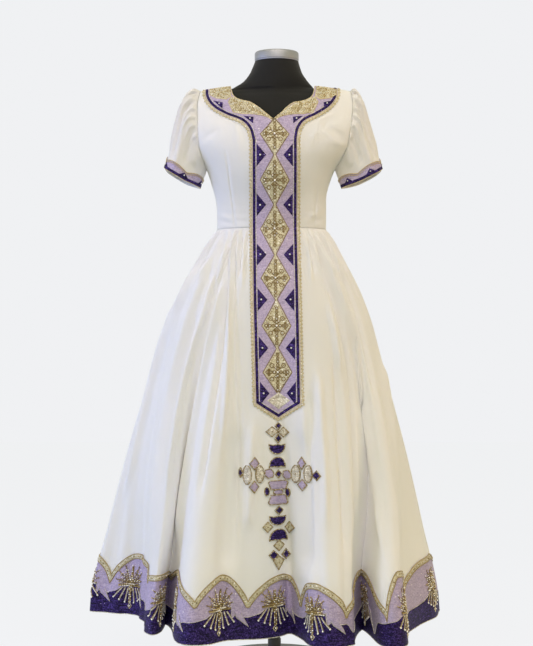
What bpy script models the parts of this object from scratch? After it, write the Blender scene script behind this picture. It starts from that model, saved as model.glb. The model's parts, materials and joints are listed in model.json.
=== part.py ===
"""Habesha kemis: a long white dress with woven bands at neck, front, cuffs and hem, worn by a
limbless dress form on a pole. Metres, +Z up, the wearer faces -Y, the origin is under the pole."""

import math

import bmesh
import bpy
import numpy as np

WALL = 0.0014  # white cloth
BAND = 0.0012  # woven band laid on the cloth
LIFT = 0.0005  # clearance under a band
SEAM = 0.0002  # each piece stops this far from its seam line
WAIST = 1.1195
HEM = 0.130
# Marks along the front hem from the left side seam, where its folds turn; the back's are even.
HEM_MARKS = (0.053, 0.208, 0.363, 0.504, 0.645, 0.786, 0.937, 1.130, 1.304, 1.450, 1.585, 1.720, 1.860, 2.0)
BACK_MARKS = 13
COLUMNS_PER_MARK = 4
BACK_SCALLOPS = 11
POLE_R = 0.0152
BASE_R = 0.170
BASE_H = 0.012
CAP_R = 0.0572
CAP_Z = (1.5565, 1.5815)
CAP_X = 0.0045
POLE_X = -0.0015


def table(names, rows):
    return {n: np.array(c, float) for n, c in zip(names.split(), zip(*rows))}


# Outer face of the cloth, one row for each level section. power 2 is an ellipse, 1 a diamond.
FIGURE = table(
    "z half centre front back power",
    [
        (WAIST, 0.1415, -0.0090, 0.102, 0.098, 2.0),
        (1.160, 0.1415, -0.0085, 0.105, 0.101, 2.0),
        (1.197, 0.1435, -0.0105, 0.114, 0.106, 2.0),
        (1.244, 0.1548, -0.0117, 0.132, 0.113, 2.1),
        (1.275, 0.1665, -0.0105, 0.139, 0.119, 2.15),
        (1.306, 0.1900, -0.0070, 0.140, 0.123, 2.2),
        (1.340, 0.2140, -0.0040, 0.134, 0.125, 2.2),
        (1.371, 0.2210, -0.0020, 0.124, 0.124, 2.2),
        (1.410, 0.2230, 0.0000, 0.106, 0.118, 2.0),
        (1.446, 0.2190, 0.0000, 0.086, 0.104, 1.7),
        (1.467, 0.2080, 0.0000, 0.073, 0.087, 1.4),
        (1.480, 0.1935, 0.0010, 0.065, 0.074, 1.2),
        (1.4870, 0.1560, 0.0010, 0.061, 0.066, 1.2),
        (1.4915, 0.1100, -0.0050, 0.058, 0.060, 1.4),
    ],
)
# Side seam to the underarm, then the armhole to the shoulder tip.
SIDE = table(
    "z left right",
    [
        (WAIST, -0.1505, 0.1325),
        (1.160, -0.1500, 0.1330),
        (1.197, -0.1540, 0.1330),
        (1.244, -0.1665, 0.1431),
        (1.275, -0.1770, 0.1560),
        (1.306, -0.1870, 0.1740),
        (1.334, -0.1945, 0.1850),
        (1.370, -0.1975, 0.1920),
        (1.403, -0.1995, 0.1975),
        (1.440, -0.2000, 0.2000),
        (1.467, -0.1965, 0.1990),
        (1.480, -0.1925, 0.1945),
    ],
)
UNDERARM = 1.275
NECK_LEFT, NECK_RIGHT = -0.1150, 0.1030
NECK_FRONT = table(
    "x z",
    [
        (-0.1150, 1.4900),
        (-0.1095, 1.4660),
        (-0.1000, 1.4530),
        (-0.0854, 1.4455),
        (-0.0630, 1.4389),
        (-0.0385, 1.4214),
        (-0.0040, 1.3889),
        (0.0270, 1.4225),
        (0.0450, 1.4366),
        (0.0674, 1.4422),
        (0.0855, 1.4500),
        (0.0970, 1.4640),
        (0.1030, 1.4900),
    ],
)
NECK_BACK = table(
    "x z",
    [
        (-0.115, 1.490), (-0.095, 1.478), (-0.05, 1.470), (0.0, 1.468), (0.045, 1.470), (0.085, 1.478),
        (0.103, 1.490),
    ],
)
YOKE = table(
    "z left right",
    [
        (1.3345, -0.0612, 0.0583),
        (1.345, -0.0635, 0.0590),
        (1.366, -0.0703, 0.0640),
        (1.3850, -0.0885, 0.0775),
        (1.3995, -0.1210, 0.1040),
        (1.4218, -0.1560, 0.1360),
        (1.4400, -0.1720, 0.1520),
        (1.4555, -0.1800, 0.1605),
        (1.4700, -0.1835, 0.1635),
        (1.5600, -0.1850, 0.1650),
    ],
)
STRIP = table(
    "z left right",
    [
        (1.334, -0.0612, 0.0583),
        (1.240, -0.0610, 0.0583),
        (1.115, -0.0612, 0.0587),
        (0.935, -0.0585, 0.0615),
        (0.680, -0.0520, 0.0655),
    ],
)
STRIP_TIP = (0.0068, 0.642)

# Folds of the skirt: the angle where the cloth leaves the waist, and where it stands at the hem.
FOLDS = table(
    "turn x y",
    [
        (-90, -0.478, 0.000),
        (-83, -0.420, -0.028),
        (-74, -0.362, -0.052),
        (-63, -0.329, -0.136),
        (-54, -0.316, -0.235),
        (-46, -0.300, -0.297),
        (-40, -0.281, -0.262),
        (-35, -0.274, -0.170),
        (-31, -0.250, -0.255),
        (-27, -0.226, -0.382),
        (-21, -0.160, -0.402),
        (-15, -0.110, -0.352),
        (-8, -0.050, -0.345),
        (-2, -0.006, -0.325),
        (4, 0.030, -0.282),
        (9, 0.052, -0.310),
        (16, 0.084, -0.412),
        (26, 0.128, -0.440),
        (38, 0.174, -0.408),
        (49, 0.191, -0.315),
        (56, 0.213, -0.230),
        (60, 0.229, -0.325),
        (64, 0.250, -0.420),
        (69, 0.298, -0.410),
        (73, 0.317, -0.295),
        (78, 0.345, -0.200),
        (84, 0.404, -0.085),
        (90, 0.426, 0.000),
        (98, 0.398, 0.078),
        (106, 0.356, 0.130),
        (113, 0.366, 0.215),
        (120, 0.326, 0.268),
        (127, 0.266, 0.232),
        (134, 0.248, 0.312),
        (141, 0.212, 0.372),
        (150, 0.152, 0.358),
        (157, 0.112, 0.298),
        (164, 0.086, 0.338),
        (172, 0.042, 0.400),
        (180, -0.026, 0.408),
        (188, -0.082, 0.362),
        (195, -0.108, 0.302),
        (203, -0.154, 0.335),
        (211, -0.204, 0.390),
        (219, -0.256, 0.362),
        (226, -0.276, 0.286),
        (234, -0.310, 0.276),
        (242, -0.362, 0.270),
        (250, -0.396, 0.200),
        (257, -0.386, 0.122),
        (264, -0.432, 0.062),
        (270, -0.478, 0.000),
    ],
)
HEM_RING = (-0.026, 0.452, 0.345, 0.350)  # centre, half width, front and back of the unfolded hem
FLARE = table(
    "drop reach fold",
    [
        (0.0, 0.0, 0.0), (0.04, 0.078, 0.003), (0.08, 0.150, 0.012), (0.157, 0.287, 0.038), (0.236, 0.392, 0.080),
        (0.315, 0.467, 0.130), (0.394, 0.540, 0.188), (0.473, 0.612, 0.255), (0.55, 0.680, 0.335), (0.63, 0.746, 0.430),
        (0.709, 0.808, 0.555), (0.787, 0.867, 0.720), (0.866, 0.933, 0.895), (0.945, 0.985, 0.980), (1.0, 1.0, 1.0),
    ],
)
SKIRT_DROPS = (0.0, 0.04, 0.10, 0.18, 0.28, 0.40, 0.53, 0.66, 0.78)
# Scallops of the hem border along the front: where each starts, its height there, its peak and
# the height of that, along the hem from the left side seam.
SCALLOPS = table(
    "start low peak high",
    [
        (0.0530, 0.0980, 0.1305, 0.157),
        (0.2855, 0.1190, 0.4335, 0.141),
        (0.5393, 0.1250, 0.6450, 0.150),
        (0.7860, 0.0980, 0.8615, 0.153),
        (0.9370, 0.0880, 1.0335, 0.145),
        (1.1300, 0.0900, 1.2170, 0.142),
        (1.3040, 0.0810, 1.4838, 0.145),
        (1.7200, 0.0820, 1.7550, 0.164),
        (1.8950, 0.1120, 2.1500, 0.154),
    ],
)
BACK_START = 2.2997

# The form under the cloth, and its hips below the waist.
TORSO = table(
    "z half centre front back power",
    [
        (0.800, 0.100, -0.002, 0.070, 0.080, 2.2),
        (0.806, 0.130, -0.002, 0.092, 0.105, 2.2),
        (0.830, 0.158, -0.003, 0.108, 0.128, 2.2),
        (0.900, 0.170, -0.004, 0.112, 0.136, 2.2),
        (1.020, 0.155, -0.007, 0.102, 0.112, 2.1),
        (1.080, 0.139, -0.008, 0.096, 0.094, 2.0),
        (WAIST, 0.1365, -0.0090, 0.096, 0.092, 2.0),
        (1.160, 0.1365, -0.0085, 0.099, 0.095, 2.0),
        (1.197, 0.1385, -0.0105, 0.108, 0.100, 2.0),
        (1.244, 0.1490, -0.0117, 0.126, 0.107, 2.1),
        (1.275, 0.1590, -0.0105, 0.133, 0.113, 2.1),
        (1.306, 0.1700, -0.0080, 0.134, 0.117, 2.1),
        (1.340, 0.1800, -0.0050, 0.128, 0.119, 2.1),
        (1.371, 0.1860, -0.0020, 0.117, 0.118, 2.1),
        (1.410, 0.1890, 0.0000, 0.099, 0.112, 1.9),
        (1.440, 0.1880, 0.0000, 0.083, 0.099, 1.65),
        (1.460, 0.1830, 0.0000, 0.070, 0.084, 1.4),
        (1.473, 0.1720, 0.0000, 0.059, 0.070, 1.25),
        (1.4800, 0.1400, 0.0000, 0.0555, 0.061, 1.25),
        (1.4850, 0.1110, -0.0050, 0.0565, 0.060, 1.45),
        (1.4925, 0.0985, -0.0020, 0.0560, 0.0590, 1.6),
        (1.5013, 0.0870, 0.0013, 0.0560, 0.0580, 1.75),
        (1.5100, 0.0790, 0.0025, 0.0555, 0.0575, 1.9),
        (1.5240, 0.0690, 0.0030, 0.0555, 0.0570, 2.0),
        (1.5390, 0.0625, 0.0035, 0.0555, 0.0565, 2.0),
        (1.5562, 0.0565, 0.0045, 0.0545, 0.0550, 2.0),
    ],
)

# Sleeves: where the outer edge stands at each step from head to hem, and the underside edge.
SLEEVE = table(
    "lx lz rx rz ux uz depth",
    [
        (0.0, 0.0, 0.0, 0.0, 0.0, 0.0, 0.0),
        (-0.0170, 0.0045, 0.0100, 0.0050, -0.0005, -0.002, 0.10),
        (-0.0350, -0.0060, 0.0235, -0.0080, -0.0015, -0.005, 0.22),
        (-0.0490, -0.0290, 0.0330, -0.0330, -0.0030, -0.010, 0.40),
        (-0.0590, -0.0640, 0.0430, -0.0720, -0.0055, -0.016, 0.60),
        (-0.0690, -0.1090, 0.0550, -0.1150, -0.0090, -0.024, 0.80),
        (-0.0790, -0.1560, 0.0690, -0.1610, -0.0140, -0.035, 0.93),
        (-0.0925, -0.1990, 0.0805, -0.2030, -0.0185, -0.047, 1.0),
    ],
)
SLEEVE_HALF_DEPTH = 0.066
SLEEVE_COLUMNS = 28
CUFF = 0.030

# Cross motif: centre height, half width and half height of each patch on the centre line.
MOTIF_X = 0.0065
MOTIF_STEM = table(
    "z half_x half_z",
    [
        (0.6215, 0.012, 0.017),
        (0.598, 0.016, 0.020),
        (0.570, 0.019, 0.017),
        (0.540, 0.019, 0.020),
        (0.510, 0.026, 0.026),
        (0.484, 0.030, 0.015),
        (0.450, 0.028, 0.016),
        (0.428, 0.014, 0.016),
        (0.404, 0.020, 0.016),
        (0.384, 0.032, 0.016),
        (0.362, 0.019, 0.017),
        (0.336, 0.014, 0.020),
        (0.306, 0.015, 0.027),
    ],
)
MOTIF_ARM = table(
    "x z half_x half_z",
    [
        (0.024, 0.510, 0.014, 0.013),
        (0.047, 0.510, 0.012, 0.024),
        (0.062, 0.510, 0.012, 0.041),
        (0.076, 0.510, 0.013, 0.022),
        (0.093, 0.510, 0.012, 0.012),
        (0.027, 0.468, 0.010, 0.024),
    ],
)


def smooth(at, xs, ys):
    """Smooth curve through the rows of a table, without overshoot."""
    at = np.clip(np.asarray(at, float), xs[0], xs[-1])
    step = np.diff(xs)
    slope = np.diff(ys) / step
    tangent = np.concatenate([slope[:1], (slope[1:] + slope[:-1]) / 2, slope[-1:]])
    flat = slope[1:] * slope[:-1] <= 0
    tangent[1:-1][flat] = 0
    limit = 3 * np.minimum(np.abs(slope[1:]), np.abs(slope[:-1]))
    tangent[1:-1] = np.clip(tangent[1:-1], -limit, limit)
    i = np.clip(np.searchsorted(xs, at, "right") - 1, 0, len(step) - 1)
    t = (at - xs[i]) / step[i]
    return (
        (2 * t**3 - 3 * t**2 + 1) * ys[i]
        + (t**3 - 2 * t**2 + t) * step[i] * tangent[i]
        + (3 * t**2 - 2 * t**3) * ys[i + 1]
        + (t**3 - t**2) * step[i] * tangent[i + 1]
    )


def loop(at, xs, ys):
    """Free smooth curve through a closed table whose last row repeats the first."""
    step = np.diff(xs)
    slope = np.diff(ys) / step
    before, after = np.roll(step, 1), step
    inner = (np.roll(slope, 1) * after + slope * before) / (before + after)
    tangent = np.append(inner, inner[0])
    i = np.clip(np.searchsorted(xs, at, "right") - 1, 0, len(step) - 1)
    t = (at - xs[i]) / step[i]
    return (
        (2 * t**3 - 3 * t**2 + 1) * ys[i]
        + (t**3 - 2 * t**2 + t) * step[i] * tangent[i]
        + (3 * t**2 - 2 * t**3) * ys[i + 1]
        + (t**3 - t**2) * step[i] * tangent[i + 1]
    )


def figure(z, name):
    return smooth(z, FIGURE["z"], FIGURE[name])


def skin(x, z, side):
    """Depth of the figure's front (side -1) or back (side 1) at x, z."""
    power = figure(z, "power")
    across = np.clip(np.abs(x - figure(z, "centre")) / figure(z, "half"), 0, 1)
    return side * figure(z, "front" if side < 0 else "back") * (1 - across**power) ** (1 / power)


RIDGE_Z = np.linspace(1.42, 1.4915, 400)
RIDGE_RIGHT = figure(RIDGE_Z, "centre") + figure(RIDGE_Z, "half")
RIDGE_LEFT = figure(RIDGE_Z, "centre") - figure(RIDGE_Z, "half")


def ridge(x):
    """Height of the shoulder line."""
    right = np.interp(-x, -RIDGE_RIGHT, RIDGE_Z)
    return np.where(x > 0, right, np.interp(x, RIDGE_LEFT, RIDGE_Z))


def bodice(share, up, side):
    """Points of a bodice side: share runs from its left edge to its right, up from waist to top."""
    neck = NECK_FRONT if side < 0 else NECK_BACK
    top = np.full_like(share, 1.47)
    for _ in range(12):
        left, right = smooth(top, SIDE["z"], SIDE["left"]), smooth(top, SIDE["z"], SIDE["right"])
        x = left + (right - left) * share
        inside = (x > NECK_LEFT) & (x < NECK_RIGHT)
        top = np.where(inside, smooth(x, neck["x"], neck["z"]), ridge(x))
    z = WAIST + (top[None, :] - WAIST) * up[:, None]
    left, right = smooth(z, SIDE["z"], SIDE["left"]), smooth(z, SIDE["z"], SIDE["right"])
    x = left + (right - left) * share[None, :]
    y = skin(x, z, side)
    y[:, [0, -1]] = np.where(z[:, [0, -1]] <= UNDERARM, 0.0, y[:, [0, -1]])
    onshoulder = ~inside & (up.max() == 1)
    y[-1, onshoulder] = 0.0
    return np.stack([x, y, z], axis=2)


def share_of(x, z):
    left, right = smooth(z, SIDE["z"], SIDE["left"]), smooth(z, SIDE["z"], SIDE["right"])
    return (x - left) / (right - left)


SHARE_LEFT = float(share_of(NECK_LEFT, 1.488))
SHARE_RIGHT = float(share_of(NECK_RIGHT, 1.488))
SHARE_V = float(share_of(-0.0040, 1.3889))
OUTER_SHARES = np.array(
    [0.0, 0.035, 0.08, 0.13, SHARE_LEFT, SHARE_LEFT + 0.005, SHARE_LEFT + 0.014, SHARE_LEFT + 0.037, 0.275]
    + [SHARE_RIGHT - 0.037, SHARE_RIGHT - 0.014, SHARE_RIGHT - 0.005, SHARE_RIGHT, 0.84, 0.89, 0.94, 0.975, 1.0]
)
BODICE_UPS = np.array([0, 0.12, 0.24, 0.35, 0.46, 0.56, 0.66, 0.75, 0.83, 0.90, 0.95, 0.985, 1.0])
BACK_SHARES = (0.33, 0.41, 0.58, 0.65)


def waist_turn(share):
    """Angle round the waist of a bodice column."""
    x = SIDE["left"][0] + (SIDE["right"][0] - SIDE["left"][0]) * share
    return np.degrees(np.arcsin(np.clip((x - FIGURE["centre"][0]) / FIGURE["half"][0], -1, 1)))


def waist_share(turn):
    """Bodice column above a skirt column."""
    x = FIGURE["centre"][0] + FIGURE["half"][0] * np.sin(np.radians(turn))
    return (x - SIDE["left"][0]) / (SIDE["right"][0] - SIDE["left"][0])


def ring(turn, centre, half, front, back):
    angle = np.radians(turn)
    deep = np.where(np.cos(angle) > 0, front, back)
    return np.stack([centre + half * np.sin(angle), -deep * np.cos(angle)], axis=-1)


def skirt(turn, drop):
    """Outer face of the skirt at an angle round the waist and a share of its length down."""
    turn, drop = np.broadcast_arrays(np.asarray(turn, float), np.asarray(drop, float))
    wrapped = np.where(turn < -90, turn + 360, turn)
    waist = ring(turn, FIGURE["centre"][0], FIGURE["half"][0], FIGURE["front"][0], FIGURE["back"][0])
    plain = ring(turn, *HEM_RING)
    folded = np.stack([loop(wrapped, FOLDS["turn"], FOLDS[k]) for k in "xy"], axis=-1)
    reach = smooth(drop, FLARE["drop"], FLARE["reach"])[..., None]
    depth = smooth(drop, FLARE["drop"], FLARE["fold"])[..., None]
    flat = waist + reach * (plain - waist) + depth * (folded - plain)
    z = WAIST - (WAIST - HEM) * drop
    return np.concatenate([flat, z[..., None]], axis=-1)


HEM_TURNS = np.linspace(-90, 270, 1441)
HEM_LENGTH = np.concatenate(
    [[0], np.cumsum(np.linalg.norm(np.diff(skirt(HEM_TURNS, 1.0)[:, :2], axis=0), axis=1))]
)
HEM_END = HEM_LENGTH[-1] + HEM_MARKS[0]
MARKS = np.concatenate([HEM_MARKS[:-1], np.linspace(HEM_MARKS[-1], HEM_END, BACK_MARKS + 1)])
STARTS = np.concatenate([SCALLOPS["start"], np.linspace(BACK_START, HEM_END, BACK_SCALLOPS + 1)])
LOWS = np.append(np.concatenate([SCALLOPS["low"], np.full(BACK_SCALLOPS, 0.090)]), SCALLOPS["low"][0])
PEAKS = np.append(SCALLOPS["peak"], (STARTS[9:-1] + STARTS[10:]) / 2)
HIGHS = np.append(SCALLOPS["high"], np.full(BACK_SCALLOPS, 0.150))


def border_height(along):
    """Height of the border's upper edge above the hem, at a distance along the hem."""
    i = np.clip(np.searchsorted(STARTS, along, "right") - 1, 0, len(PEAKS) - 1)
    rising = along <= PEAKS[i]
    foot = np.where(rising, STARTS[i], STARTS[i + 1])
    low = np.where(rising, LOWS[i], LOWS[i + 1])
    t = (along - foot) / (PEAKS[i] - foot)
    return low + (HIGHS[i] - low) * np.sin(np.clip(t, 0, 1) * np.pi / 2) ** 0.75


def scallop(turn):
    """Share of the skirt's length where the border's upper edge runs."""
    along = np.interp(np.where(turn < -90, turn + 360, turn), HEM_TURNS, HEM_LENGTH)
    along = np.where(along < STARTS[0], along + HEM_LENGTH[-1], along)
    return 1 - border_height(along) / (WAIST - HEM)


def hem_columns():
    """Angles of the skirt's columns: even between the marks, with one at each seam."""
    count = (len(MARKS) - 1) * COLUMNS_PER_MARK
    steps = np.interp(np.arange(count + 1) / COLUMNS_PER_MARK, range(len(MARKS)), MARKS)
    angles = np.interp(np.mod(steps, HEM_LENGTH[-1]), HEM_LENGTH, HEM_TURNS)
    fixed = [-90.0, 90.0, 180.0, 270.0, float(waist_turn(SHARE_V))]
    free = [a for a in angles if min(abs(a - f) for f in fixed) > 0.9]
    return np.unique(np.round(fixed + free, 4))


def normals(grid, closed=False):
    """Unit normals at the points of a grid, longer where faces meet at an angle."""
    if closed:
        grid = np.concatenate([grid[:, -2:-1], grid, grid[:, 1:2]], axis=1)
    a, b, c, d = grid[:-1, :-1], grid[:-1, 1:], grid[1:, 1:], grid[1:, :-1]
    face = np.cross(c - a, d - b)
    face /= np.maximum(np.linalg.norm(face, axis=2, keepdims=True), 1e-12)
    total = np.zeros_like(grid)
    for rows in (slice(0, -1), slice(1, None)):
        for cols in (slice(0, -1), slice(1, None)):
            total[rows, cols] += face
    total /= np.linalg.norm(total, axis=2, keepdims=True)
    return total[:, 1:-1] if closed else total


def trim(grid, edges):
    """The grid with its named edges (l, r, b, t) moved in from their seams."""
    grid = grid.copy()
    for edge in edges:
        row, inner = {"l": (0, 1), "r": (-1, -2), "b": (0, 1), "t": (-1, -2)}[edge]
        view = grid.transpose(1, 0, 2) if edge in "lr" else grid
        inward = view[inner] - view[row]
        view[row] += inward / np.linalg.norm(inward, axis=-1, keepdims=True) * SEAM
    return grid


def unit(vectors):
    return vectors / np.linalg.norm(vectors, axis=-1, keepdims=True)


def material(name, colour, rough, metal=0.0):
    made = bpy.data.materials.new(name)
    made.use_nodes = True
    shader = made.node_tree.nodes["Principled BSDF"]
    shader.inputs["Base Color"].default_value = (*colour, 1)
    shader.inputs["Roughness"].default_value = rough
    shader.inputs["Metallic"].default_value = metal
    made.diffuse_color = (*colour, 1)
    return made


def collection(name):
    made = bpy.data.collections.new(name)
    bpy.context.scene.collection.children.link(made)
    return made


def add(name, mesh, look, home):
    made = bpy.data.objects.new(name, mesh)
    home.objects.link(made)
    mesh.materials.append(look)
    return made


def sheet(name, grid, normal, inside, outside, look, home, closed=False):
    """Cloth wall: a grid of points moved inside and outside along its normals, as one extruded sheet."""
    rows, cols = grid.shape[:2]
    work = bmesh.new()
    bmesh.ops.create_grid(work, x_segments=cols - 1, y_segments=rows - 1, size=1)
    number = work.verts.layers.int.new("number")
    order = sorted(work.verts, key=lambda v: (round(v.co.y, 6), v.co.x))
    outer, inner = ((grid + normal * far).reshape(-1, 3) for far in (outside, inside))
    for k, (vert, place) in enumerate(zip(order, outer)):
        vert.co = place
        vert[number] = k
    if closed:
        bmesh.ops.remove_doubles(work, verts=work.verts, dist=1e-6)
    bmesh.ops.triangulate(work, faces=work.faces[:], quad_method="FIXED")
    grown = bmesh.ops.extrude_face_region(work, geom=work.faces[:], use_keep_orig=True)
    for vert in grown["geom"]:
        if isinstance(vert, bmesh.types.BMVert):
            vert.co = inner[vert[number]]
    bmesh.ops.recalc_face_normals(work, faces=work.faces)
    mesh = bpy.data.meshes.new(name)
    work.to_mesh(mesh)
    work.free()
    mesh.shade_smooth()
    mesh.set_sharp_from_angle(angle=math.radians(50))
    return add(name, mesh, look, home)


def cloth(name, grid, normal, edges, look, home, closed=False):
    return sheet(name, trim(grid, edges), normal, -WALL, 0, look, home, closed)


def band(name, grid, normal, edges, look, home, closed=False):
    """A woven band laid on the cloth, on the same points."""
    return sheet(name, trim(grid, edges), normal, LIFT, LIFT + BAND, look, home, closed)


def prism(name, outline, home, y0=-0.7, y1=0.0):
    """Cutter with the given outline in x, z."""
    work = bmesh.new()
    face = work.faces.new([work.verts.new((x, y0, z)) for x, z in outline])
    grown = bmesh.ops.extrude_face_region(work, geom=[face])
    moved = [g for g in grown["geom"] if isinstance(g, bmesh.types.BMVert)]
    bmesh.ops.translate(work, verts=moved, vec=(0, y1 - y0, 0))
    bmesh.ops.recalc_face_normals(work, faces=work.faces)
    mesh = bpy.data.meshes.new(name)
    work.to_mesh(mesh)
    work.free()
    made = bpy.data.objects.new(name, mesh)
    home.objects.link(made)
    made.hide_render = True
    made.display_type = "WIRE"
    return made


def keep(obj, cutter, operation="INTERSECT"):
    cut = obj.modifiers.new(cutter.name, "BOOLEAN")
    cut.operation = operation
    cut.object = cutter
    cut.solver = "EXACT"


def diamond(x, z, half_x, half_z):
    return [(x - half_x, z), (x, z + half_z), (x + half_x, z), (x, z - half_z)]


def lofted(name, section, look, home, around=30):
    """Closed body through level sections."""
    turns = np.linspace(0, 2 * np.pi, around, endpoint=False)
    work = bmesh.new()
    loops = []
    for z, half, centre, front, back, power in zip(*section.values()):
        points = []
        for turn in turns:
            s, c = math.sin(turn), math.cos(turn)
            x = centre + half * math.copysign(abs(s) ** (2 / power), s)
            y = -(front if c > 0 else back) * math.copysign(abs(c) ** (2 / power), c)
            points.append(work.verts.new((x, y, z)))
        loops.append(points)
    for low, high in zip(loops, loops[1:]):
        for i in range(around):
            j = (i + 1) % around
            work.faces.new((low[i], low[j], high[j], high[i]))
    for ends in (loops[0], loops[-1]):
        work.faces.new(ends)
    bmesh.ops.recalc_face_normals(work, faces=work.faces)
    mesh = bpy.data.meshes.new(name)
    work.to_mesh(mesh)
    work.free()
    mesh.shade_smooth()
    return add(name, mesh, look, home)


def turned(name, profile, x, look, home, steps=32):
    """Round piece about a vertical axis, its outline (radius, height) running top to bottom."""
    work = bmesh.new()
    points = [work.verts.new((r, 0, z)) for r, z in profile]
    for a, b in zip(points, points[1:]):
        work.edges.new((a, b))
    mesh = bpy.data.meshes.new(name)
    work.to_mesh(mesh)
    work.free()
    made = add(name, mesh, look, home)
    made.location.x = x
    spin = made.modifiers.new("Turn", "SCREW")
    spin.steps = spin.render_steps = steps
    spin.use_merge_vertices = True
    spin.merge_threshold = 0.0001
    return made


def sleeve(side):
    """Grid of a sleeve, head row first, columns from the shoulder tip round the front."""
    edge = "left" if side < 0 else "right"
    half = SLEEVE_COLUMNS // 2
    high = float(SIDE["z"][-1])
    sweep = (1 - np.cos(np.linspace(0, np.pi, half + 1))) / 2
    z = high + (UNDERARM - high) * sweep
    x = smooth(z, SIDE["z"], SIDE[edge])
    rings = []
    for face in (-1, 1):
        y = skin(x, z, face)
        y[[0, -1]] = 0.0
        rings.append(np.stack([x, y, z], axis=1))
    head = np.concatenate([rings[0], rings[1][-2::-1]])
    angle = np.linspace(0, 2 * np.pi, SLEEVE_COLUMNS + 1)
    out = (1 + np.cos(angle)) / 2
    round_y = -np.sin(angle) * SLEEVE_HALF_DEPTH
    rows = []
    for lx, lz, rx, rz, ux, uz, depth in zip(*SLEEVE.values()):
        over, down = (lx, lz) if side < 0 else (rx, rz)
        row = head.copy()
        row[:, 0] += -side * ux + (over + side * ux) * out
        row[:, 2] += uz + (down - uz) * out
        row[:, 1] += (round_y - row[:, 1]) * depth
        rows.append(row)
    grid = np.stack(rows)
    grid[:, -1] = grid[:, 0]
    return grid, angle


def clear_scene():
    for obj in list(bpy.data.objects):
        bpy.data.objects.remove(obj)


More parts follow.
